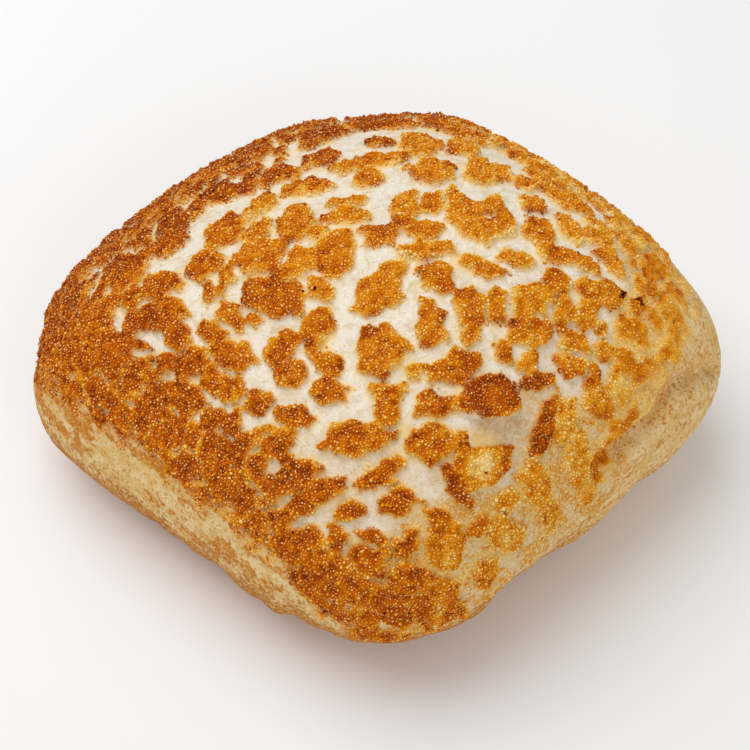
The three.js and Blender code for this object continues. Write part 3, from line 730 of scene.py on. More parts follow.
@dataclass
class BakeAndShadeMap:
    """How brown the paste is: dark on the left and at the back, amber on the crown, golden on the right.

    0 is pale and 1 is burnt. It also holds painted light and shade: paler on the tops of the paste's clumps
    and browner between them.
    """

    flecks: Ovals = BURNT_FLECKS
    pale_middles: Ovals = PALE_MIDDLES
    pale_fade: Span = (0.3, 1)
    crown: float = 0.5
    left_gain: float = 0.17
    left_span: Span = (10, 65)
    left_evens: float = 0.8
    back_gain: float = 0.31
    back_lean: tuple[float, float] = (-0.6, 0.8)
    back_span: Span = (25, 62)
    front_gain: float = -0.02
    front_span: Span = (74, 96)
    right_loss: float = 0.12
    right_span: Span = (30, 92)
    plate_reach: float = 0.08
    patch_reach: float = 0.04
    patch_grain: float = 5
    # Painted light and shade: the paste is paler on its clumps' tops and browner between them.
    knob_shading: float = 0.13
    bare_bake: float = 0.28
    corner_gain: float = 0.2
    corner_patch: Span = (0.15, 0.75)
    corner_span: Span = (0.5, 3)
    rim_loss: float = 0.22
    rim_span: Span = (-0.3, 1.5)
    edge_loss: float = 0.2
    darkest: float = 0.86

    def bake(
        self, crackle: Crackle, places: np.ndarray, inside: np.ndarray, plate: np.ndarray, share: np.ndarray
    ) -> np.ndarray:
        """Works out how brown the paste is, with painted light and shade on its clumps.

        Args:
            crackle: The paste's layout.
            places: Places on the crust.
            inside: How far inside its plate each place lies.
            plate: How much browner each place's plate is than its surroundings.
            share: How much of the paste's thickness is there.

        Returns:
            A value for each place, from 0 to 1.
        """
        flat = crackle.rolled_out(places)
        left = ramp(self.left_span, crackle.front_left(places))
        back = ramp(self.back_span, places[:, :2] @ np.array(self.back_lean))
        brown = self.crown + np.maximum(self.left_gain * left, self.back_gain * back)
        brown += self.front_gain * ramp(self.front_span, -places[:, 1])
        brown -= self.right_loss * ramp(self.right_span, places[:, 0])
        brown += self.plate_reach * plate * (1 - self.left_evens * left)
        patch = crackle.chance.noise(flat, self.patch_grain, Draw.PATCH)
        brown += self.patch_reach * patch
        # Painted light and shade: paler on the clumps, browner between them.
        brown -= self.knob_shading * crackle.knobs(flat)
        corner = ramp(self.corner_patch, patch) * (1 - ramp(self.corner_span, inside))
        brown += self.corner_gain * corner * (1 - self.left_evens * left)
        brown -= self.rim_loss * (1 - patch) * (1 - ramp(self.rim_span, inside))
        for *middle, paler in self.pale_middles:
            brown -= paler * (1 - ramp(self.pale_fade, np.hypot(*own_shares(flat, middle))))
        brown = (brown - self.edge_loss * (1 - share)).clip(0, self.darkest)
        for fleck in self.flecks:
            brown = np.where(np.hypot(*own_shares(flat, fleck)) < 1, 1, brown)
        return brown


@dataclass(frozen=True)
class Grain:
    """Cloudy noise: its cells for each metre, how many finer layers it has and how far it is twisted."""

    scale: float
    detail: float
    twist: float = 0


class NodeBench:
    """Adds and links the nodes of one material."""

    def __init__(self, name: str) -> None:
        """Starts a material with a Principled shader.

        Args:
            name: The material's name.
        """
        self.material = bpy.data.materials.new(name)
        self.material.use_nodes = True
        self.tree = self.material.node_tree
        self.shader = self.tree.nodes["Principled BSDF"]

    def feed(self, socket: Socket, value: object) -> None:
        """Links another socket to a socket, or sets it to a plain value.

        Args:
            socket: The socket that gets it.
            value: The other socket, or the value.
        """
        if isinstance(value, Socket):
            self.tree.links.new(value, socket)
        elif socket.type == "RGBA":
            socket.default_value = (*value, 1)
        else:
            socket.default_value = value

    def node(self, kind: str, sockets: dict[str | int, object], **values: object) -> bpy.types.Node:
        """Adds a node.

        Args:
            kind: Its type in Blender.
            sockets: What its sockets get, by name or number.
            values: Its properties by name.

        Returns:
            The node.
        """
        made = self.tree.nodes.new(kind)
        for name, value in values.items():
            setattr(made, name, value)
        for name, value in sockets.items():
            self.feed(made.inputs[name], value)
        return made

    def places(self) -> Socket:
        """Gives the place on the piece, in metres."""
        return self.node("ShaderNodeTexCoord", {}).outputs["Object"]

    def attribute(self, name: str) -> Socket:
        """Gives a number that is stored on the piece's points."""
        return self.node("ShaderNodeAttribute", {}, attribute_name=name).outputs["Fac"]

    def stretched(self, up: float) -> Socket:
        """Gives the place on the piece, with its height scaled."""
        sockets = {"Vector": self.places(), "Scale": (1, 1, up)}
        return self.node("ShaderNodeMapping", sockets).outputs["Vector"]

    def noise(self, place: Socket, grain: Grain) -> Socket:
        """Gives cloudy noise at a place, from 0 to 1."""
        sockets = {"Vector": place, "Scale": grain.scale, "Detail": grain.detail, "Distortion": grain.twist}
        return self.node("ShaderNodeTexNoise", sockets).outputs["Fac"]

    def cells(self, place: Socket, scale: float) -> Socket:
        """Gives how far a place lies from the middle of its uneven cell, as a share of the cells' width."""
        return self.node("ShaderNodeTexVoronoi", {"Vector": place, "Scale": scale}).outputs["Distance"]

    def span(self, value: Socket, ends: Span, top: float = 1) -> Socket:
        """Stretches a span of values to run smoothly from 0 to the top."""
        sockets = {"Value": value, "From Min": ends[0], "From Max": ends[1], "To Max": top}
        return self.node("ShaderNodeMapRange", sockets, interpolation_type="SMOOTHSTEP").outputs["Result"]

    def times(self, first: Socket, second: object) -> Socket:
        """Multiplies two values."""
        return self.node("ShaderNodeMath", {0: first, 1: second}, operation="MULTIPLY").outputs["Value"]

    def plus(self, first: Socket, second: object) -> Socket:
        """Adds two values."""
        return self.node("ShaderNodeMath", {0: first, 1: second}, operation="ADD").outputs["Value"]

    def flecked(self, name: str, weight: float, flecks: Socket) -> Socket:
        """Adds a part of a number that is stored on the points to the flecks."""
        return self.plus(self.times(self.attribute(name), weight), flecks)

    def blend(self, share: object, under: object, over: object) -> Socket:
        """Blends two colours.

        Args:
            share: How much of the second shows.
            under: The first colour, or its socket.
            over: The second colour, or its socket.

        Returns:
            The blended colour.
        """
        made = self.node("ShaderNodeMix", {}, data_type="RGBA")
        self.feed(made.inputs["Factor"], share)
        first, second = [socket for socket in made.inputs if socket.type == "RGBA"]
        self.feed(first, under)
        self.feed(second, over)
        return next(socket for socket in made.outputs if socket.type == "RGBA")

    def scale_of(self, value: Socket, stops: Stops) -> Socket:
        """Runs a value along a scale of colours.

        Args:
            value: The value, from 0 to 1.
            stops: Places on the scale and their colours.

        Returns:
            The colour.
        """
        made = self.node("ShaderNodeValToRGB", {"Fac": value})
        elements = made.color_ramp.elements
        for place, _ in stops[2:]:
            elements.new(place)
        for element, (place, colour) in zip(elements, stops):
            element.position = place
            element.color = (*colour, 1)
        return made.outputs["Color"]

    def bump(self, height: Socket, depth: float) -> None:
        """Roughens the surface by a relief from 0 to 1 that is so many metres deep."""
        made = self.node("ShaderNodeBump", {"Strength": 1, "Distance": depth, "Height": height})
        self.feed(self.shader.inputs["Normal"], made.outputs["Normal"])

    def dress(self, colour: Socket, roughness: float, gloss: float) -> bpy.types.Material:
        """Finishes the shader.

        Args:
            colour: Its colour.
            roughness: Its roughness.
            gloss: Its specular level.

        Returns:
            The material.
        """
        for name, value in (("Base Color", colour), ("Roughness", roughness), ("Specular IOR Level", gloss)):
            self.feed(self.shader.inputs[name], value)
        return self.material


@dataclass(frozen=True)
class PasteFinish:
    """Baked rice paste: a scale of browns from straw to burnt, satin, with a painted highlight, a cream
    glint, on the top of some beads.
    """

    stops: Stops = (
        (0.0, srgb(246, 220, 156)),
        (0.25, srgb(238, 180, 52)),
        (0.5, srgb(226, 138, 4)),
        (0.75, srgb(192, 90, 2)),
        (0.94, srgb(134, 50, 4)),
        (1.0, srgb(30, 14, 10)),
    )
    # Painted highlight: the cream glint on the top point of some beads, and how far it spreads from that
    # point.
    glint_tip: Colour = srgb(255, 226, 154)
    glint_tip_span: Span = (0.32, 0.64)
    roughness: float = 0.32
    gloss: float = 0.03

    def material(self) -> bpy.types.Material:
        """Makes the beads' material.

        Returns:
            The material.
        """
        bench = NodeBench("baked_paste")
        baked_and_shaded = bench.scale_of(bench.attribute("bake"), self.stops)
        # Blends in the painted highlight, a cream glint, where a bead has one.
        glint = bench.times(bench.span(bench.attribute("glint_tip"), self.glint_tip_span), bench.attribute("glint_strength"))
        return bench.dress(bench.blend(glint, baked_and_shaded, self.glint_tip), self.roughness, self.gloss)


@dataclass(frozen=True)
class SkinFinish:
    """The pale skin between the plates, its golden stains, the streaked side and the baked base."""

    paste: PasteFinish = PasteFinish()
    skin: Colour = srgb(246, 238, 222)
    skin_shade: Colour = srgb(230, 210, 174)
    cloud: Grain = Grain(260, 6, 0.8)
    cloud_span: Span = (0.42, 0.72)
    fibres: Grain = Grain(800, 6, 2.2)
    fibre_span: Span = (0.5, 0.68)
    fibre_most: float = 0.6
    fibre_depth: float = 0.00042
    flecks: Grain = Grain(850, 4)
    tan: Colour = srgb(222, 186, 124)
    tan_fibre: Colour = srgb(240, 220, 178)
    tan_span: Span = (0.45, 0.66)
    tan_most: float = 0.8
    lace: Colour = srgb(216, 150, 46)
    lace_weight: float = 0.25
    lace_span: Span = (0.5, 0.8)
    lace_most: float = 0.9
    stain: Colour = srgb(250, 215, 130)
    grit: Colour = srgb(252, 230, 178)
    grit_scale: float = 950
    grit_span: Span = (0.38, 0.1)
    grit_most: float = 0.7
    side: Colour = srgb(240, 211, 154)
    side_shade: Colour = srgb(232, 190, 116)
    mottle: Grain = Grain(170, 8)
    mottle_rise: float = 1.6
    mottle_span: Span = (0.38, 0.62)
    streak: Colour = srgb(208, 130, 30)
    streak_wash: float = 0.25
    streak_weight: float = 0.37
    streak_span: Span = (0.52, 0.92)
    base: Colour = srgb(190, 118, 36)
    base_weight: float = 0.3
    base_span: Span = (0.5, 0.85)
    side_grit: float = 0.7
    speck: Colour = srgb(184, 140, 90)
    specks: Grain = Grain(1300, 2)
    speck_span: Span = (0.64, 0.74)
    speck_most: float = 0.6
    roughness: float = 0.75
    gloss: float = 0.1

    def material(self) -> bpy.types.Material:
        """Makes the skin's material.

        Returns:
            The material.
        """
        bench = NodeBench("bread_skin")
        place, tan = bench.places(), bench.attribute("tan")
        cloud, fibres, flecks, specks = (
            bench.noise(place, grain) for grain in (self.cloud, self.fibres, self.flecks, self.specks)
        )
        pale = bench.blend(bench.span(cloud, self.cloud_span), self.skin, self.skin_shade)
        pale = bench.blend(bench.span(fibres, self.fibre_span, self.fibre_most), pale, self.skin_shade)
        tanned = bench.blend(bench.span(fibres, self.tan_span, self.tan_most), self.tan, self.tan_fibre)
        pale = bench.blend(tan, pale, tanned)
        lace = bench.span(bench.flecked("lace", self.lace_weight, flecks), self.lace_span, self.lace_most)
        pale = bench.blend(bench.times(lace, tan), pale, self.lace)
        stained = bench.blend(bench.attribute("stain"), pale, self.stain)
        grit = bench.span(bench.cells(place, self.grit_scale), self.grit_span, self.grit_most)
        stained = bench.blend(bench.times(grit, tan), stained, self.grit)
        mottle = bench.noise(bench.stretched(self.mottle_rise), self.mottle)
        wall = bench.blend(bench.span(mottle, self.mottle_span), self.side, self.side_shade)
        wall = bench.blend(bench.times(bench.attribute("streak"), self.streak_wash), wall, self.streak)
        streaks = bench.flecked("streak", self.streak_weight, flecks)
        wall = bench.blend(bench.span(streaks, self.streak_span), wall, self.streak)
        browned = bench.flecked("low", self.base_weight, flecks)
        wall = bench.blend(bench.span(browned, self.base_span), wall, self.base)
        wall = bench.blend(bench.times(grit, self.side_grit), wall, self.grit)
        dough = bench.blend(bench.attribute("side"), stained, wall)
        dough = bench.blend(bench.span(specks, self.speck_span, self.speck_most), dough, self.speck)
        # The paste between the beads, made browner by painted shade.
        baked_and_shaded = bench.scale_of(bench.attribute("body"), self.paste.stops)
        bench.bump(fibres, self.fibre_depth)
        return bench.dress(bench.blend(bench.attribute("cover"), dough, baked_and_shaded), self.roughness, self.gloss)


@dataclass(frozen=True)
class PlainFinish:
    """A plain matt surface with a little cloud in its colour."""

    name: str
    colour: Colour
    clouded: Colour
    cloud: Grain
    roughness: float
    gloss: float

    def material(self) -> bpy.types.Material:
        """Makes the material.

        Returns:
            The material.
        """
        bench = NodeBench(self.name)
        colour = bench.blend(bench.noise(bench.places(), self.cloud), self.colour, self.clouded)
        return bench.dress(colour, self.roughness, self.gloss)


def deselect() -> None:
    """Leaves edit mode and clears the selection."""
    if bpy.context.mode != "OBJECT":
        bpy.ops.object.mode_set(mode="OBJECT")
    bpy.ops.object.select_all(action="DESELECT")


def read_points(mesh: bpy.types.Mesh) -> np.ndarray:
    """Reads a mesh's points.

    Args:
        mesh: The mesh.

    Returns:
        Its points, one row each.
    """
    points = np.empty(len(mesh.vertices) * 3)
    mesh.vertices.foreach_get("co", points)
    return points.reshape(-1, 3)


def write_points(mesh: bpy.types.Mesh, points: np.ndarray) -> None:
    """Moves a mesh's points."""
    mesh.vertices.foreach_set("co", points.ravel())
    mesh.update()


def point_normals(mesh: bpy.types.Mesh) -> np.ndarray:
    """Reads the smooth normals at a mesh's points.

    Args:
        mesh: The mesh.

    Returns:
        Its normals, one row each.
    """
    normals = np.empty(len(mesh.vertices) * 3, dtype=np.float32)
    mesh.vertex_normals.foreach_get("vector", normals)
    return normals.reshape(-1, 3).astype(float)


def store(mesh: bpy.types.Mesh, name: str, values: np.ndarray) -> None:
    """Stores a number on each point of a mesh.

    Args:
        mesh: The mesh.
        name: The attribute's name.
        values: One number for each point.
    """
    attribute = mesh.attributes.new(name, "FLOAT", "POINT")
    attribute.data.foreach_set("value", values.astype(np.float32))


def carry(piece: bpy.types.Object) -> None:
    """Makes a piece ride on the loaf's body, in place of the loaf's solid.

    Args:
        piece: The piece.
    """
    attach(piece, BODY)
    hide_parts(NODE)


@dataclass
class LoafSkin:
    """The loaf's whole surface: skin, side and base, with the plates as relief."""

    form: LoafForm
    crackle: Crackle
    flake: CurledFlake
    fold: SideFold
    bake_and_shade_map: BakeAndShadeMap
    finish: SkinFinish
    first_cuts: int = 63
    second_cuts: int = 1
    paste_thickness: float = 2.2
    bead_allowance: float = 0.5
    # Painted shade: the paste under and between the beads is browner than the beads.
    gap_shade: float = 0.12
    body_darkest: float = 0.9
    plate_edge: Span = (-0.75, 0.2)
    lump_height: float = 1.3
    lump_grain: float = 34
    lump_fade: Span = (0, 14)
    wave_height: float = 1.4
    wave_grain: float = 12
    wave_starts: Span = (1, 6)
    wave_ends: Span = (14, 34)
    knob_height: float = 0.9
    skin_height: float = 0.16
    skin_grain: float = 2.1
    stain_span: Span = (-2.8, -0.1)
    stain_grain: float = 9
    stain_share: Span = (-0.55, 0.75)
    side_span: Span = (0.02, 0.3)
    rim_stain_span: Span = (-1.5, 0.2)
    rim_stain: float = 0.85
    tanned: Ovals = TANNED_SKIN
    tan_fade: Span = (0.75, 1)
    thin_span: Span = (64, 98)
    thin_paste: float = 0.5
    streak_cells: int = 36
    streak_rise: float = 2.6
    streak_mix: tuple[float, float, float] = (0.75, 0.3, 0.45)
    streak_share: Span = (-0.2, 0.45)
    streak_right: float = 0.6
    streak_right_span: Span = (20, 90)
    lace_mix: tuple[float, float] = (0.6, 0.5)
    lace_grains: tuple[float, float] = (4.5, 1.9)
    lace_share: Span = (-0.35, 0.3)
    tan_stain: float = -4
    streak_low: float = 0.3
    streak_low_span: Span = (5, 30)
    short_grain: float = 4
    grain: float = 1.4
    low_span: Span = (18, 38)
    low_wave: float = 6
    low_grain: float = 8
    smooth: np.ndarray = field(default_factory=lambda: np.empty((0, 3)))
    fields: dict[str, np.ndarray] = field(default_factory=dict)

    def ball(self) -> bpy.types.Object:
        """Makes a ball of even squares from a cube.

        Returns:
            The object, its points on a ball of radius 1.
        """
        deselect()
        bpy.ops.mesh.primitive_cube_add(size=2)
        made = bpy.context.active_object
        made.name = made.data.name = "loaf_skin"
        bpy.ops.object.mode_set(mode="EDIT")
        bpy.ops.mesh.select_all(action="SELECT")
        bpy.ops.mesh.subdivide(number_cuts=self.first_cuts)
        bpy.ops.mesh.subdivide(number_cuts=self.second_cuts)
        bpy.ops.object.mode_set(mode="OBJECT")
        cube = np.tan(read_points(made.data) * math.pi / 4)
        write_points(made.data, cube / np.linalg.norm(cube, axis=1, keepdims=True))
        return made

    def streaks(self, places: np.ndarray) -> np.ndarray:
        """Lays out the golden streaks along the side.

        Args:
            places: Places on the crust.

        Returns:
            A share from 0 to 1 for each place.
        """
        chance, flat = self.crackle.chance, self.crackle.rolled_out(places)
        turn = np.arctan2(places[:, 1], places[:, 0]) / math.tau % 1
        spots = np.stack([turn * self.streak_cells, places[:, 2] / self.streak_rise], axis=1)
        streak = self.streak_mix[0] * chance.noise(spots, 1, Draw.STREAK, self.streak_cells)
        streak += self.streak_mix[1] * chance.noise(flat, self.short_grain, Draw.SHORT)
        streak += self.streak_mix[2] * chance.noise(flat, self.grain, Draw.GRAIN)
        streak += self.streak_low * (1 - ramp(self.streak_low_span, places[:, 2]))
        return ramp(self.streak_share, streak) * self.left_lean(places)

    def left_lean(self, places: np.ndarray) -> np.ndarray:
        """Gives how browned the side is, from 1 on the left to less on the right."""
        return 1 - self.streak_right * ramp(self.streak_right_span, places[:, 0])

    def lace(self, flat: np.ndarray) -> np.ndarray:
        """Gives how much thin golden paste lies on tanned skin.

        Args:
            flat: Places on the rolled-out crust.

        Returns:
            A share from 0 to 1 for each place.
        """
        chance = self.crackle.chance
        coarse = self.lace_mix[0] * chance.noise(flat, self.lace_grains[0], Draw.LACE)
        fine = self.lace_mix[1] * chance.noise(flat, self.lace_grains[1], Draw.LACE)
        return ramp(self.lace_share, coarse + fine)

    def tan(self, flat: np.ndarray) -> np.ndarray:
        """Gives how tanned the skin is.

        Args:
            flat: Places on the rolled-out crust.

        Returns:
            A share from 0 to 1 for each place.
        """
        tan = np.zeros(len(flat))
        for *oval, most in self.tanned:
            tan = np.maximum(tan, most * (1 - ramp(self.tan_fade, np.hypot(*own_shares(flat, oval)))))
        return tan

    def lay_out(self, places: np.ndarray) -> dict[str, np.ndarray]:
        """Works out what lies where on the smooth loaf.

        Args:
            places: Places on the smooth loaf.

        Returns:
            The fields by name, one value for each place.
        """
        chance, flat = self.crackle.chance, self.crackle.rolled_out(places)
        inside, plate = self.crackle.inside_plate(places)
        inside = self.flake.cover(places, inside)
        share = self.crackle.paste_share(places)
        stain = ramp(self.stain_share, chance.noise(flat, self.stain_grain, Draw.STAIN))
        tan = self.tan(flat)
        stain *= ramp((mix(self.stain_span[0], self.tan_stain, tan), self.stain_span[1]), inside)
        stain = np.maximum(stain, self.rim_stain * ramp(self.rim_stain_span, inside))
        cover = share * ramp(self.plate_edge, inside)
        low_wave = self.low_wave * chance.noise(flat, self.low_grain, Draw.EDGE)
        bake = self.bake_and_shade_map.bake(self.crackle, places, inside, plate, share)
        return {
            "inside": inside,
            "share": share,
            "cover": cover,
            "bake": mix(bake, self.bake_and_shade_map.bare_bake, tan * (1 - cover)),
            "stain": stain,
            "tan": tan,
            "lace": tan * np.maximum(self.lace(flat), ramp((self.tan_stain, 0), inside)),
            "thin": ramp(self.thin_span, flat[:, 0]),
            "side": 1 - ramp(self.side_span, share),
            "streak": self.streaks(places),
            "low": (1 - ramp(self.low_span, places[:, 2] + low_wave)) * self.left_lean(places),
        }

    def rise(self, places: np.ndarray) -> np.ndarray:
        """Gives how far the crust stands out from the smooth loaf.

        Args:
            places: The mesh's points on the smooth loaf.

        Returns:
            A height for each point.
        """
        chance, flat = self.crackle.chance, self.crackle.rolled_out(places)
        cover = self.fields["cover"]
        thinned = mix(1, self.thin_paste, self.fields["thin"])
        paste = (self.paste_thickness - self.bead_allowance) * thinned * cover - self.paste_thickness / 2
        knobs = self.knob_height * self.crackle.knobs(flat) * cover
        lumps = self.lump_height * chance.noise(flat, self.lump_grain, Draw.LUMP)
        wave = self.wave_height * chance.noise(flat, self.wave_grain, Draw.WAVE)
        wave *= ramp(self.wave_starts, places[:, 2]) * (1 - ramp(self.wave_ends, places[:, 2]))
        torn = self.skin_height * chance.noise(flat, self.skin_grain, Draw.SKIN) * (1 - cover)
        shaped = paste + knobs + lumps + torn + self.flake.lift(places) - self.fold.sink(places)
        return shaped * ramp(self.lump_fade, places[:, 2]) + wave

    def build(self) -> bpy.types.Object:
        """Builds and dresses the piece.

        Returns:
            The piece.
        """
        piece = self.ball()
        places = self.form.place(read_points(piece.data))
        write_points(piece.data, places)
        normals = point_normals(piece.data)
        self.smooth, self.fields = places, self.lay_out(places)
        shaped = places + normals * self.rise(places)[:, None] + self.flake.lean(places)
        low, high = (np.array(corner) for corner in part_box(NODE))
        middle = (shaped.min(axis=0) + shaped.max(axis=0)) / 2
        shaped[:, :2] += (low + high)[:2] / 2 / MM - middle[:2]
        shaped[:, 2] -= shaped[:, 2].min()
        write_points(piece.data, shaped * MM)
        bake = self.fields["bake"]
        # The paste under the beads is made browner: painted shade in the gaps between them.
        body = (bake + self.gap_shade).clip(0, self.body_darkest)
        store(piece.data, "body", np.where(bake == 1, 1, body))
        for name in ("cover", "stain", "tan", "lace", "side", "streak", "low"):
            store(piece.data, name, self.fields[name])
        deselect()
        piece.select_set(True)
        bpy.context.view_layer.objects.active = piece
        bpy.ops.object.shade_smooth()
        piece.data.materials.append(self.finish.material())
        carry(piece)
        return piece


@dataclass
class PasteBeads:
    """Beads of blistered paste of many sizes, sown over the plates."""

    skin: LoafSkin
    finish: PasteFinish
    seed: int = 71
    tries: int = 260000
    spacing: Span = (0.48, 1.1)
    small_lean: float = 1.4
    radius_share: float = 0.64
    thin_room: float = 0.78
    thin_radius: float = 0.8
    stretch: Span = (0.8, 1.25)
    uneven: float = 0.18
    most_uneven: float = 2
    bead_points: int = 12
    seat: Span = (-0.6, 0.05)
    tilt: float = 0.4
    edge_span: Span = (-0.5, 0.05)
    share_span: Span = (0.12, 0.4)
    crumb_chance: float = 0.012
    lace_chance: float = 0.2
    lace_tan: Span = (0.6, 0.85)
    bake_reach: float = 0.1
    # Painted shade and light on each bead: browner towards its foot, where the beads meet, and paler at its
    # top point.
    foot_shade: float = 0.27
    foot_shade_span: Span = (-0.5, 0.5)
    top_light: float = 0.2
    # Painted highlights: the share of beads with a cream glint on top, and how strong it is.
    glint_chance: float = 0.6
    glint_strength: Span = (0.3, 1.0)
    most_each: int = 9900

    def wanted(self, fields: dict[str, np.ndarray]) -> np.ndarray:
        """Gives how likely a bead is, from 0 to 1.

        Args:
            fields: What lies where, by name.

        Returns:
            A share for each place.
        """
        plates = ramp(self.edge_span, fields["inside"]) * ramp(self.share_span, fields["share"])
        laced = fields["lace"] ** 2 * ramp(self.lace_tan, fields["tan"])
        crumbs = self.crumb_chance * fields["stain"] + self.lace_chance * laced
        return np.maximum(plates, crumbs * (1 - fields["side"]))

    def sow(self, piece: bpy.types.Object, draw: np.random.Generator) -> dict[str, np.ndarray]:
        """Draws places for beads, evenly over the surface.

        Args:
            piece: The dressed skin.
            draw: The random draws.

        Returns:
            The beads' places, normals and fields.
        """
        mesh = piece.data
        mesh.calc_loop_triangles()
        corners = np.empty(len(mesh.loop_triangles) * 3, dtype=np.int32)
        mesh.loop_triangles.foreach_get("vertices", corners)
        corners = corners.reshape(-1, 3)
        points = read_points(mesh) / MM
        likely = self.wanted(self.skin.fields)[corners].max(axis=1)
        a, b, c = points[corners[:, 0]], points[corners[:, 1]], points[corners[:, 2]]
        area = np.linalg.norm(np.cross(b - a, c - a), axis=1) * likely
        owner = draw.choice(len(corners), self.tries, p=area / area.sum())
        first, second = draw.random((2, self.tries))
        folded = first + second > 1
        first, second = np.where(folded, 1 - first, first), np.where(folded, 1 - second, second)
        weights = np.stack([1 - first - second, first, second], axis=1)
        ends = corners[owner]

        def between(values: np.ndarray) -> np.ndarray:
            """Reads values of the points at the drawn places."""
            return np.einsum("nk,nk...->n...", weights, values[ends])

        fields = self.skin.lay_out(between(self.skin.smooth))
        keep = draw.random(self.tries) * likely[owner] < self.wanted(fields)
        sown = {"place": between(points), "normal": between(point_normals(mesh))}
        sown |= {"bake": fields["bake"], "small": fields["thin"]}
        return {name: values[keep] for name, values in sown.items()}

    def spread(self, places: np.ndarray, spacing: np.ndarray) -> np.ndarray:
        """Thins places out so that none lies too close to another.

        Args:
            places: The drawn places, in order.
            spacing: How much room each one takes across.

        Returns:
            The numbers of those that stay.
        """
        tree = KDTree(len(places))
        for number, place in enumerate(places):
            tree.insert(place, number)
        tree.balance()
        free = np.ones(len(places), dtype=bool)
        kept = []
        for number, place in enumerate(places):
            if not free[number]:
                continue
            kept.append(number)
            for _, other, away in tree.find_range(place, (spacing[number] + self.spacing[1]) / 2):
                if away < (spacing[number] + spacing[other]) / 2:
                    free[other] = False
        return np.array(kept)

    def pattern(self) -> tuple[np.ndarray, np.ndarray]:
        """Models one bead.

        Returns:
            Its points, on a ball of radius 1 with one point on top, and its triangles.
        """
        deselect()
        bpy.ops.mesh.primitive_ico_sphere_add(subdivisions=1, radius=1)
        made = bpy.context.active_object
        points = read_points(made.data)
        corners = np.array([list(face.vertices) for face in made.data.polygons])
        bpy.ops.object.delete()
        return points, corners

    def join(
        self, kind: Kind, beads: dict[str, np.ndarray], material: bpy.types.Material
    ) -> bpy.types.Object:
        """Makes all beads of a kind as one mesh.

        Args:
            kind: The kind of bead.
            beads: The beads' places, directions, sizes and fields.
            material: Their finish.

        Returns:
            The piece.
        """
        ball, corners = self.pattern()
        count = len(beads["place"])
        sized = ball[None] * beads["size"][:, None, :] * beads["knobbed"][:, :, None]
        turned = sum(sized[:, :, k, None] * beads["axes"][:, None, k, :] for k in range(3))
        points = (turned + beads["place"][:, None, :]).reshape(-1, 3) * MM
        faces = (corners[None] + len(ball) * np.arange(count)[:, None, None]).reshape(-1, 3)
        mesh = bpy.data.meshes.new(f"paste_beads_{kind.name.lower()}")
        mesh.from_pydata(points, [], faces)
        mesh.shade_smooth()
        # Painted shade at each bead's foot and painted light at its top point, added to its place on the
        # colour scale.
        painted_shading = self.foot_shade * (1 - ramp(self.foot_shade_span, ball[:, 2]))
        top = np.zeros(len(ball))
        top[ball[:, 2].argmax()] = 1
        painted_shading -= self.top_light * top
        burnt = beads["bake"][:, None] == 1
        baked_and_shaded = (beads["bake"][:, None] + painted_shading[None]).clip(0, self.finish.stops[-2][0])
        store(mesh, "bake", np.where(burnt, 1, baked_and_shaded).ravel())
        # The top point and each bead's strength place the painted highlight, a cream glint.
        store(mesh, "glint_tip", np.tile(top, count))
        store(mesh, "glint_strength", np.repeat(beads["glint_strength"], len(ball)))
        mesh.materials.append(material)
        piece = bpy.data.objects.new(mesh.name, mesh)
        bpy.context.collection.objects.link(piece)
        carry(piece)
        return piece

    def build(self, skin_piece: bpy.types.Object) -> list[bpy.types.Object]:
        """Sows, sorts and joins the beads.

        Args:
            skin_piece: The dressed skin that carries them.

        Returns:
            A piece for each kind.
        """
        draw = np.random.default_rng(self.seed)
        sown = self.sow(skin_piece, draw)
        spacing = mix(*self.spacing, draw.random(len(sown["place"])) ** self.small_lean)
        spacing *= mix(1, self.thin_room, sown["small"])
        kept = self.spread(sown["place"], spacing)
        beads = {name: values[kept] for name, values in sown.items()}
        count = len(kept)
        up = beads["normal"] + self.tilt * draw.normal(size=(count, 3))
        up /= np.linalg.norm(up, axis=1, keepdims=True)
        across = np.cross(up, draw.normal(size=(count, 3)))
        across /= np.linalg.norm(across, axis=1, keepdims=True)
        beads["axes"] = np.stack([across, np.cross(up, across), up], axis=1)
        radius = self.radius_share * spacing[kept] * mix(1, self.thin_radius, beads["small"])
        beads["size"] = radius[:, None] * draw.uniform(*self.stretch, (count, 3))
        dents = draw.normal(size=(count, self.bead_points)).clip(-self.most_uneven, self.most_uneven)
        beads["knobbed"] = 1 + self.uneven * dents
        seat = draw.uniform(*self.seat, count) * radius
        beads["place"] = beads["place"] + beads["normal"] * seat[:, None]
        burnt = beads["bake"] == 1
        baked_and_shaded = beads["bake"] + self.bake_reach * draw.normal(size=count)
        baked_and_shaded = baked_and_shaded.clip(0, self.skin.bake_and_shade_map.darkest)
        beads["bake"] = np.where(burnt, 1, baked_and_shaded)
        # Painted highlights: cream glints on some beads, none on burnt ones.
        glinting = (draw.random(count) < self.glint_chance) & ~burnt
        beads["glint_strength"] = np.where(glinting, draw.uniform(*self.glint_strength, count), 0)
        order = beads["bake"].argsort()
        material = self.finish.material()
        pieces = []
        for kind, group in zip(Kind, np.array_split(order, len(Kind))):
            group = group[: self.most_each]
            chosen = {name: values[group] for name, values in beads.items()}
            pieces.append(self.join(kind, chosen, material))
        return pieces


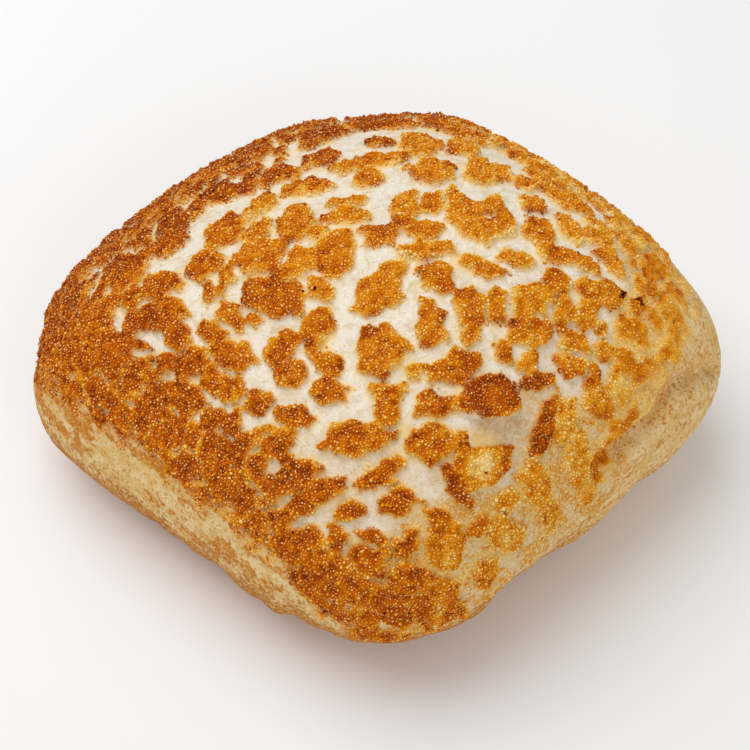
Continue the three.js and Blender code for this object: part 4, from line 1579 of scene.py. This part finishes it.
@dataclass
class Studio:
    """A pale floor, soft light and the camera at the photograph's angle."""

    aim: Place = (-0.3, -8.0, 37.5)
    distance: float = 551
    elevation: float = 51
    lens: float = 85
    sensor: float = 36
    nearest: float = 0.01
    floor_side: float = 12.0
    floor_finish: PlainFinish = PlainFinish(
        "pale_floor", srgb(250, 250, 250), srgb(247, 247, 247), Grain(3, 3), roughness=0.9, gloss=0.5
    )
    world_light: float = 0.44
    key_power: float = 7.15
    key_side: float = 1.1
    key_place: Place = (-0.36, 0.22, 1.0)
    fill_power: float = 45
    fill_side: float = 3.6
    fill_place: Place = (1.5, -3.6, 2.1)

    def camera(self) -> None:
        """Places the camera."""
        data = bpy.data.cameras.new("camera")
        data.lens = self.lens
        data.sensor_width = self.sensor
        data.clip_start = self.nearest
        made = bpy.data.objects.new("camera", data)
        bpy.context.collection.objects.link(made)
        tilt = math.radians(self.elevation)
        back = Vector((0, -math.cos(tilt), math.sin(tilt)))
        made.location = Vector(self.aim) * MM + back * self.distance * MM
        made.rotation_euler = back.to_track_quat("Z", "Y").to_euler()
        bpy.context.scene.camera = made

    def floor(self) -> None:
        """Lays the floor."""
        deselect()
        bpy.ops.mesh.primitive_plane_add(size=self.floor_side)
        made = bpy.context.active_object
        made.name = "floor"
        made.data.materials.append(self.floor_finish.material())

    def lamp(self, name: str, power: float, side: float, place: Place) -> None:
        """Hangs a round soft lamp that faces the loaf.

        Args:
            name: The lamp's name.
            power: Its power in watts.
            side: Its width in metres.
            place: Where it hangs, in metres.
        """
        data = bpy.data.lights.new(name, "AREA")
        data.shape = "DISK"
        data.size = side
        data.energy = power
        made = bpy.data.objects.new(name, data)
        bpy.context.collection.objects.link(made)
        made.location = place
        made.rotation_euler = Vector(place).to_track_quat("Z", "Y").to_euler()

    def light(self) -> None:
        """Lights the scene from all round, and more from above on the left and from the front right."""
        world = bpy.data.worlds.new("studio")
        world.use_nodes = True
        background = world.node_tree.nodes["Background"]
        background.inputs["Color"].default_value = (1, 1, 1, 1)
        background.inputs["Strength"].default_value = self.world_light
        bpy.context.scene.world = world
        self.lamp("key", self.key_power, self.key_side, self.key_place)
        self.lamp("fill", self.fill_power, self.fill_side, self.fill_place)

    def build(self) -> None:
        """Builds the floor, the light and the camera."""
        self.floor()
        self.light()
        self.camera()
        bpy.context.scene.view_settings.view_transform = "Standard"


def main() -> None:
    """Builds and dresses the loaf and the studio."""
    logging.basicConfig(level=logging.INFO, format="%(message)s")
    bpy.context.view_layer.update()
    form = LoafForm()
    crackle = Crackle(height=form.height, chance=Chance())
    skin = LoafSkin(form, crackle, CurledFlake(), SideFold(), BakeAndShadeMap(), SkinFinish())
    skin_piece = skin.build()
    log.info("%s: %d points", skin_piece.name, len(skin_piece.data.vertices))
    for piece in PasteBeads(skin, PasteFinish()).build(skin_piece):
        log.info("%s: %d triangles", piece.name, len(piece.data.polygons))
    Studio().build()


if __name__ == "__main__":
    main()
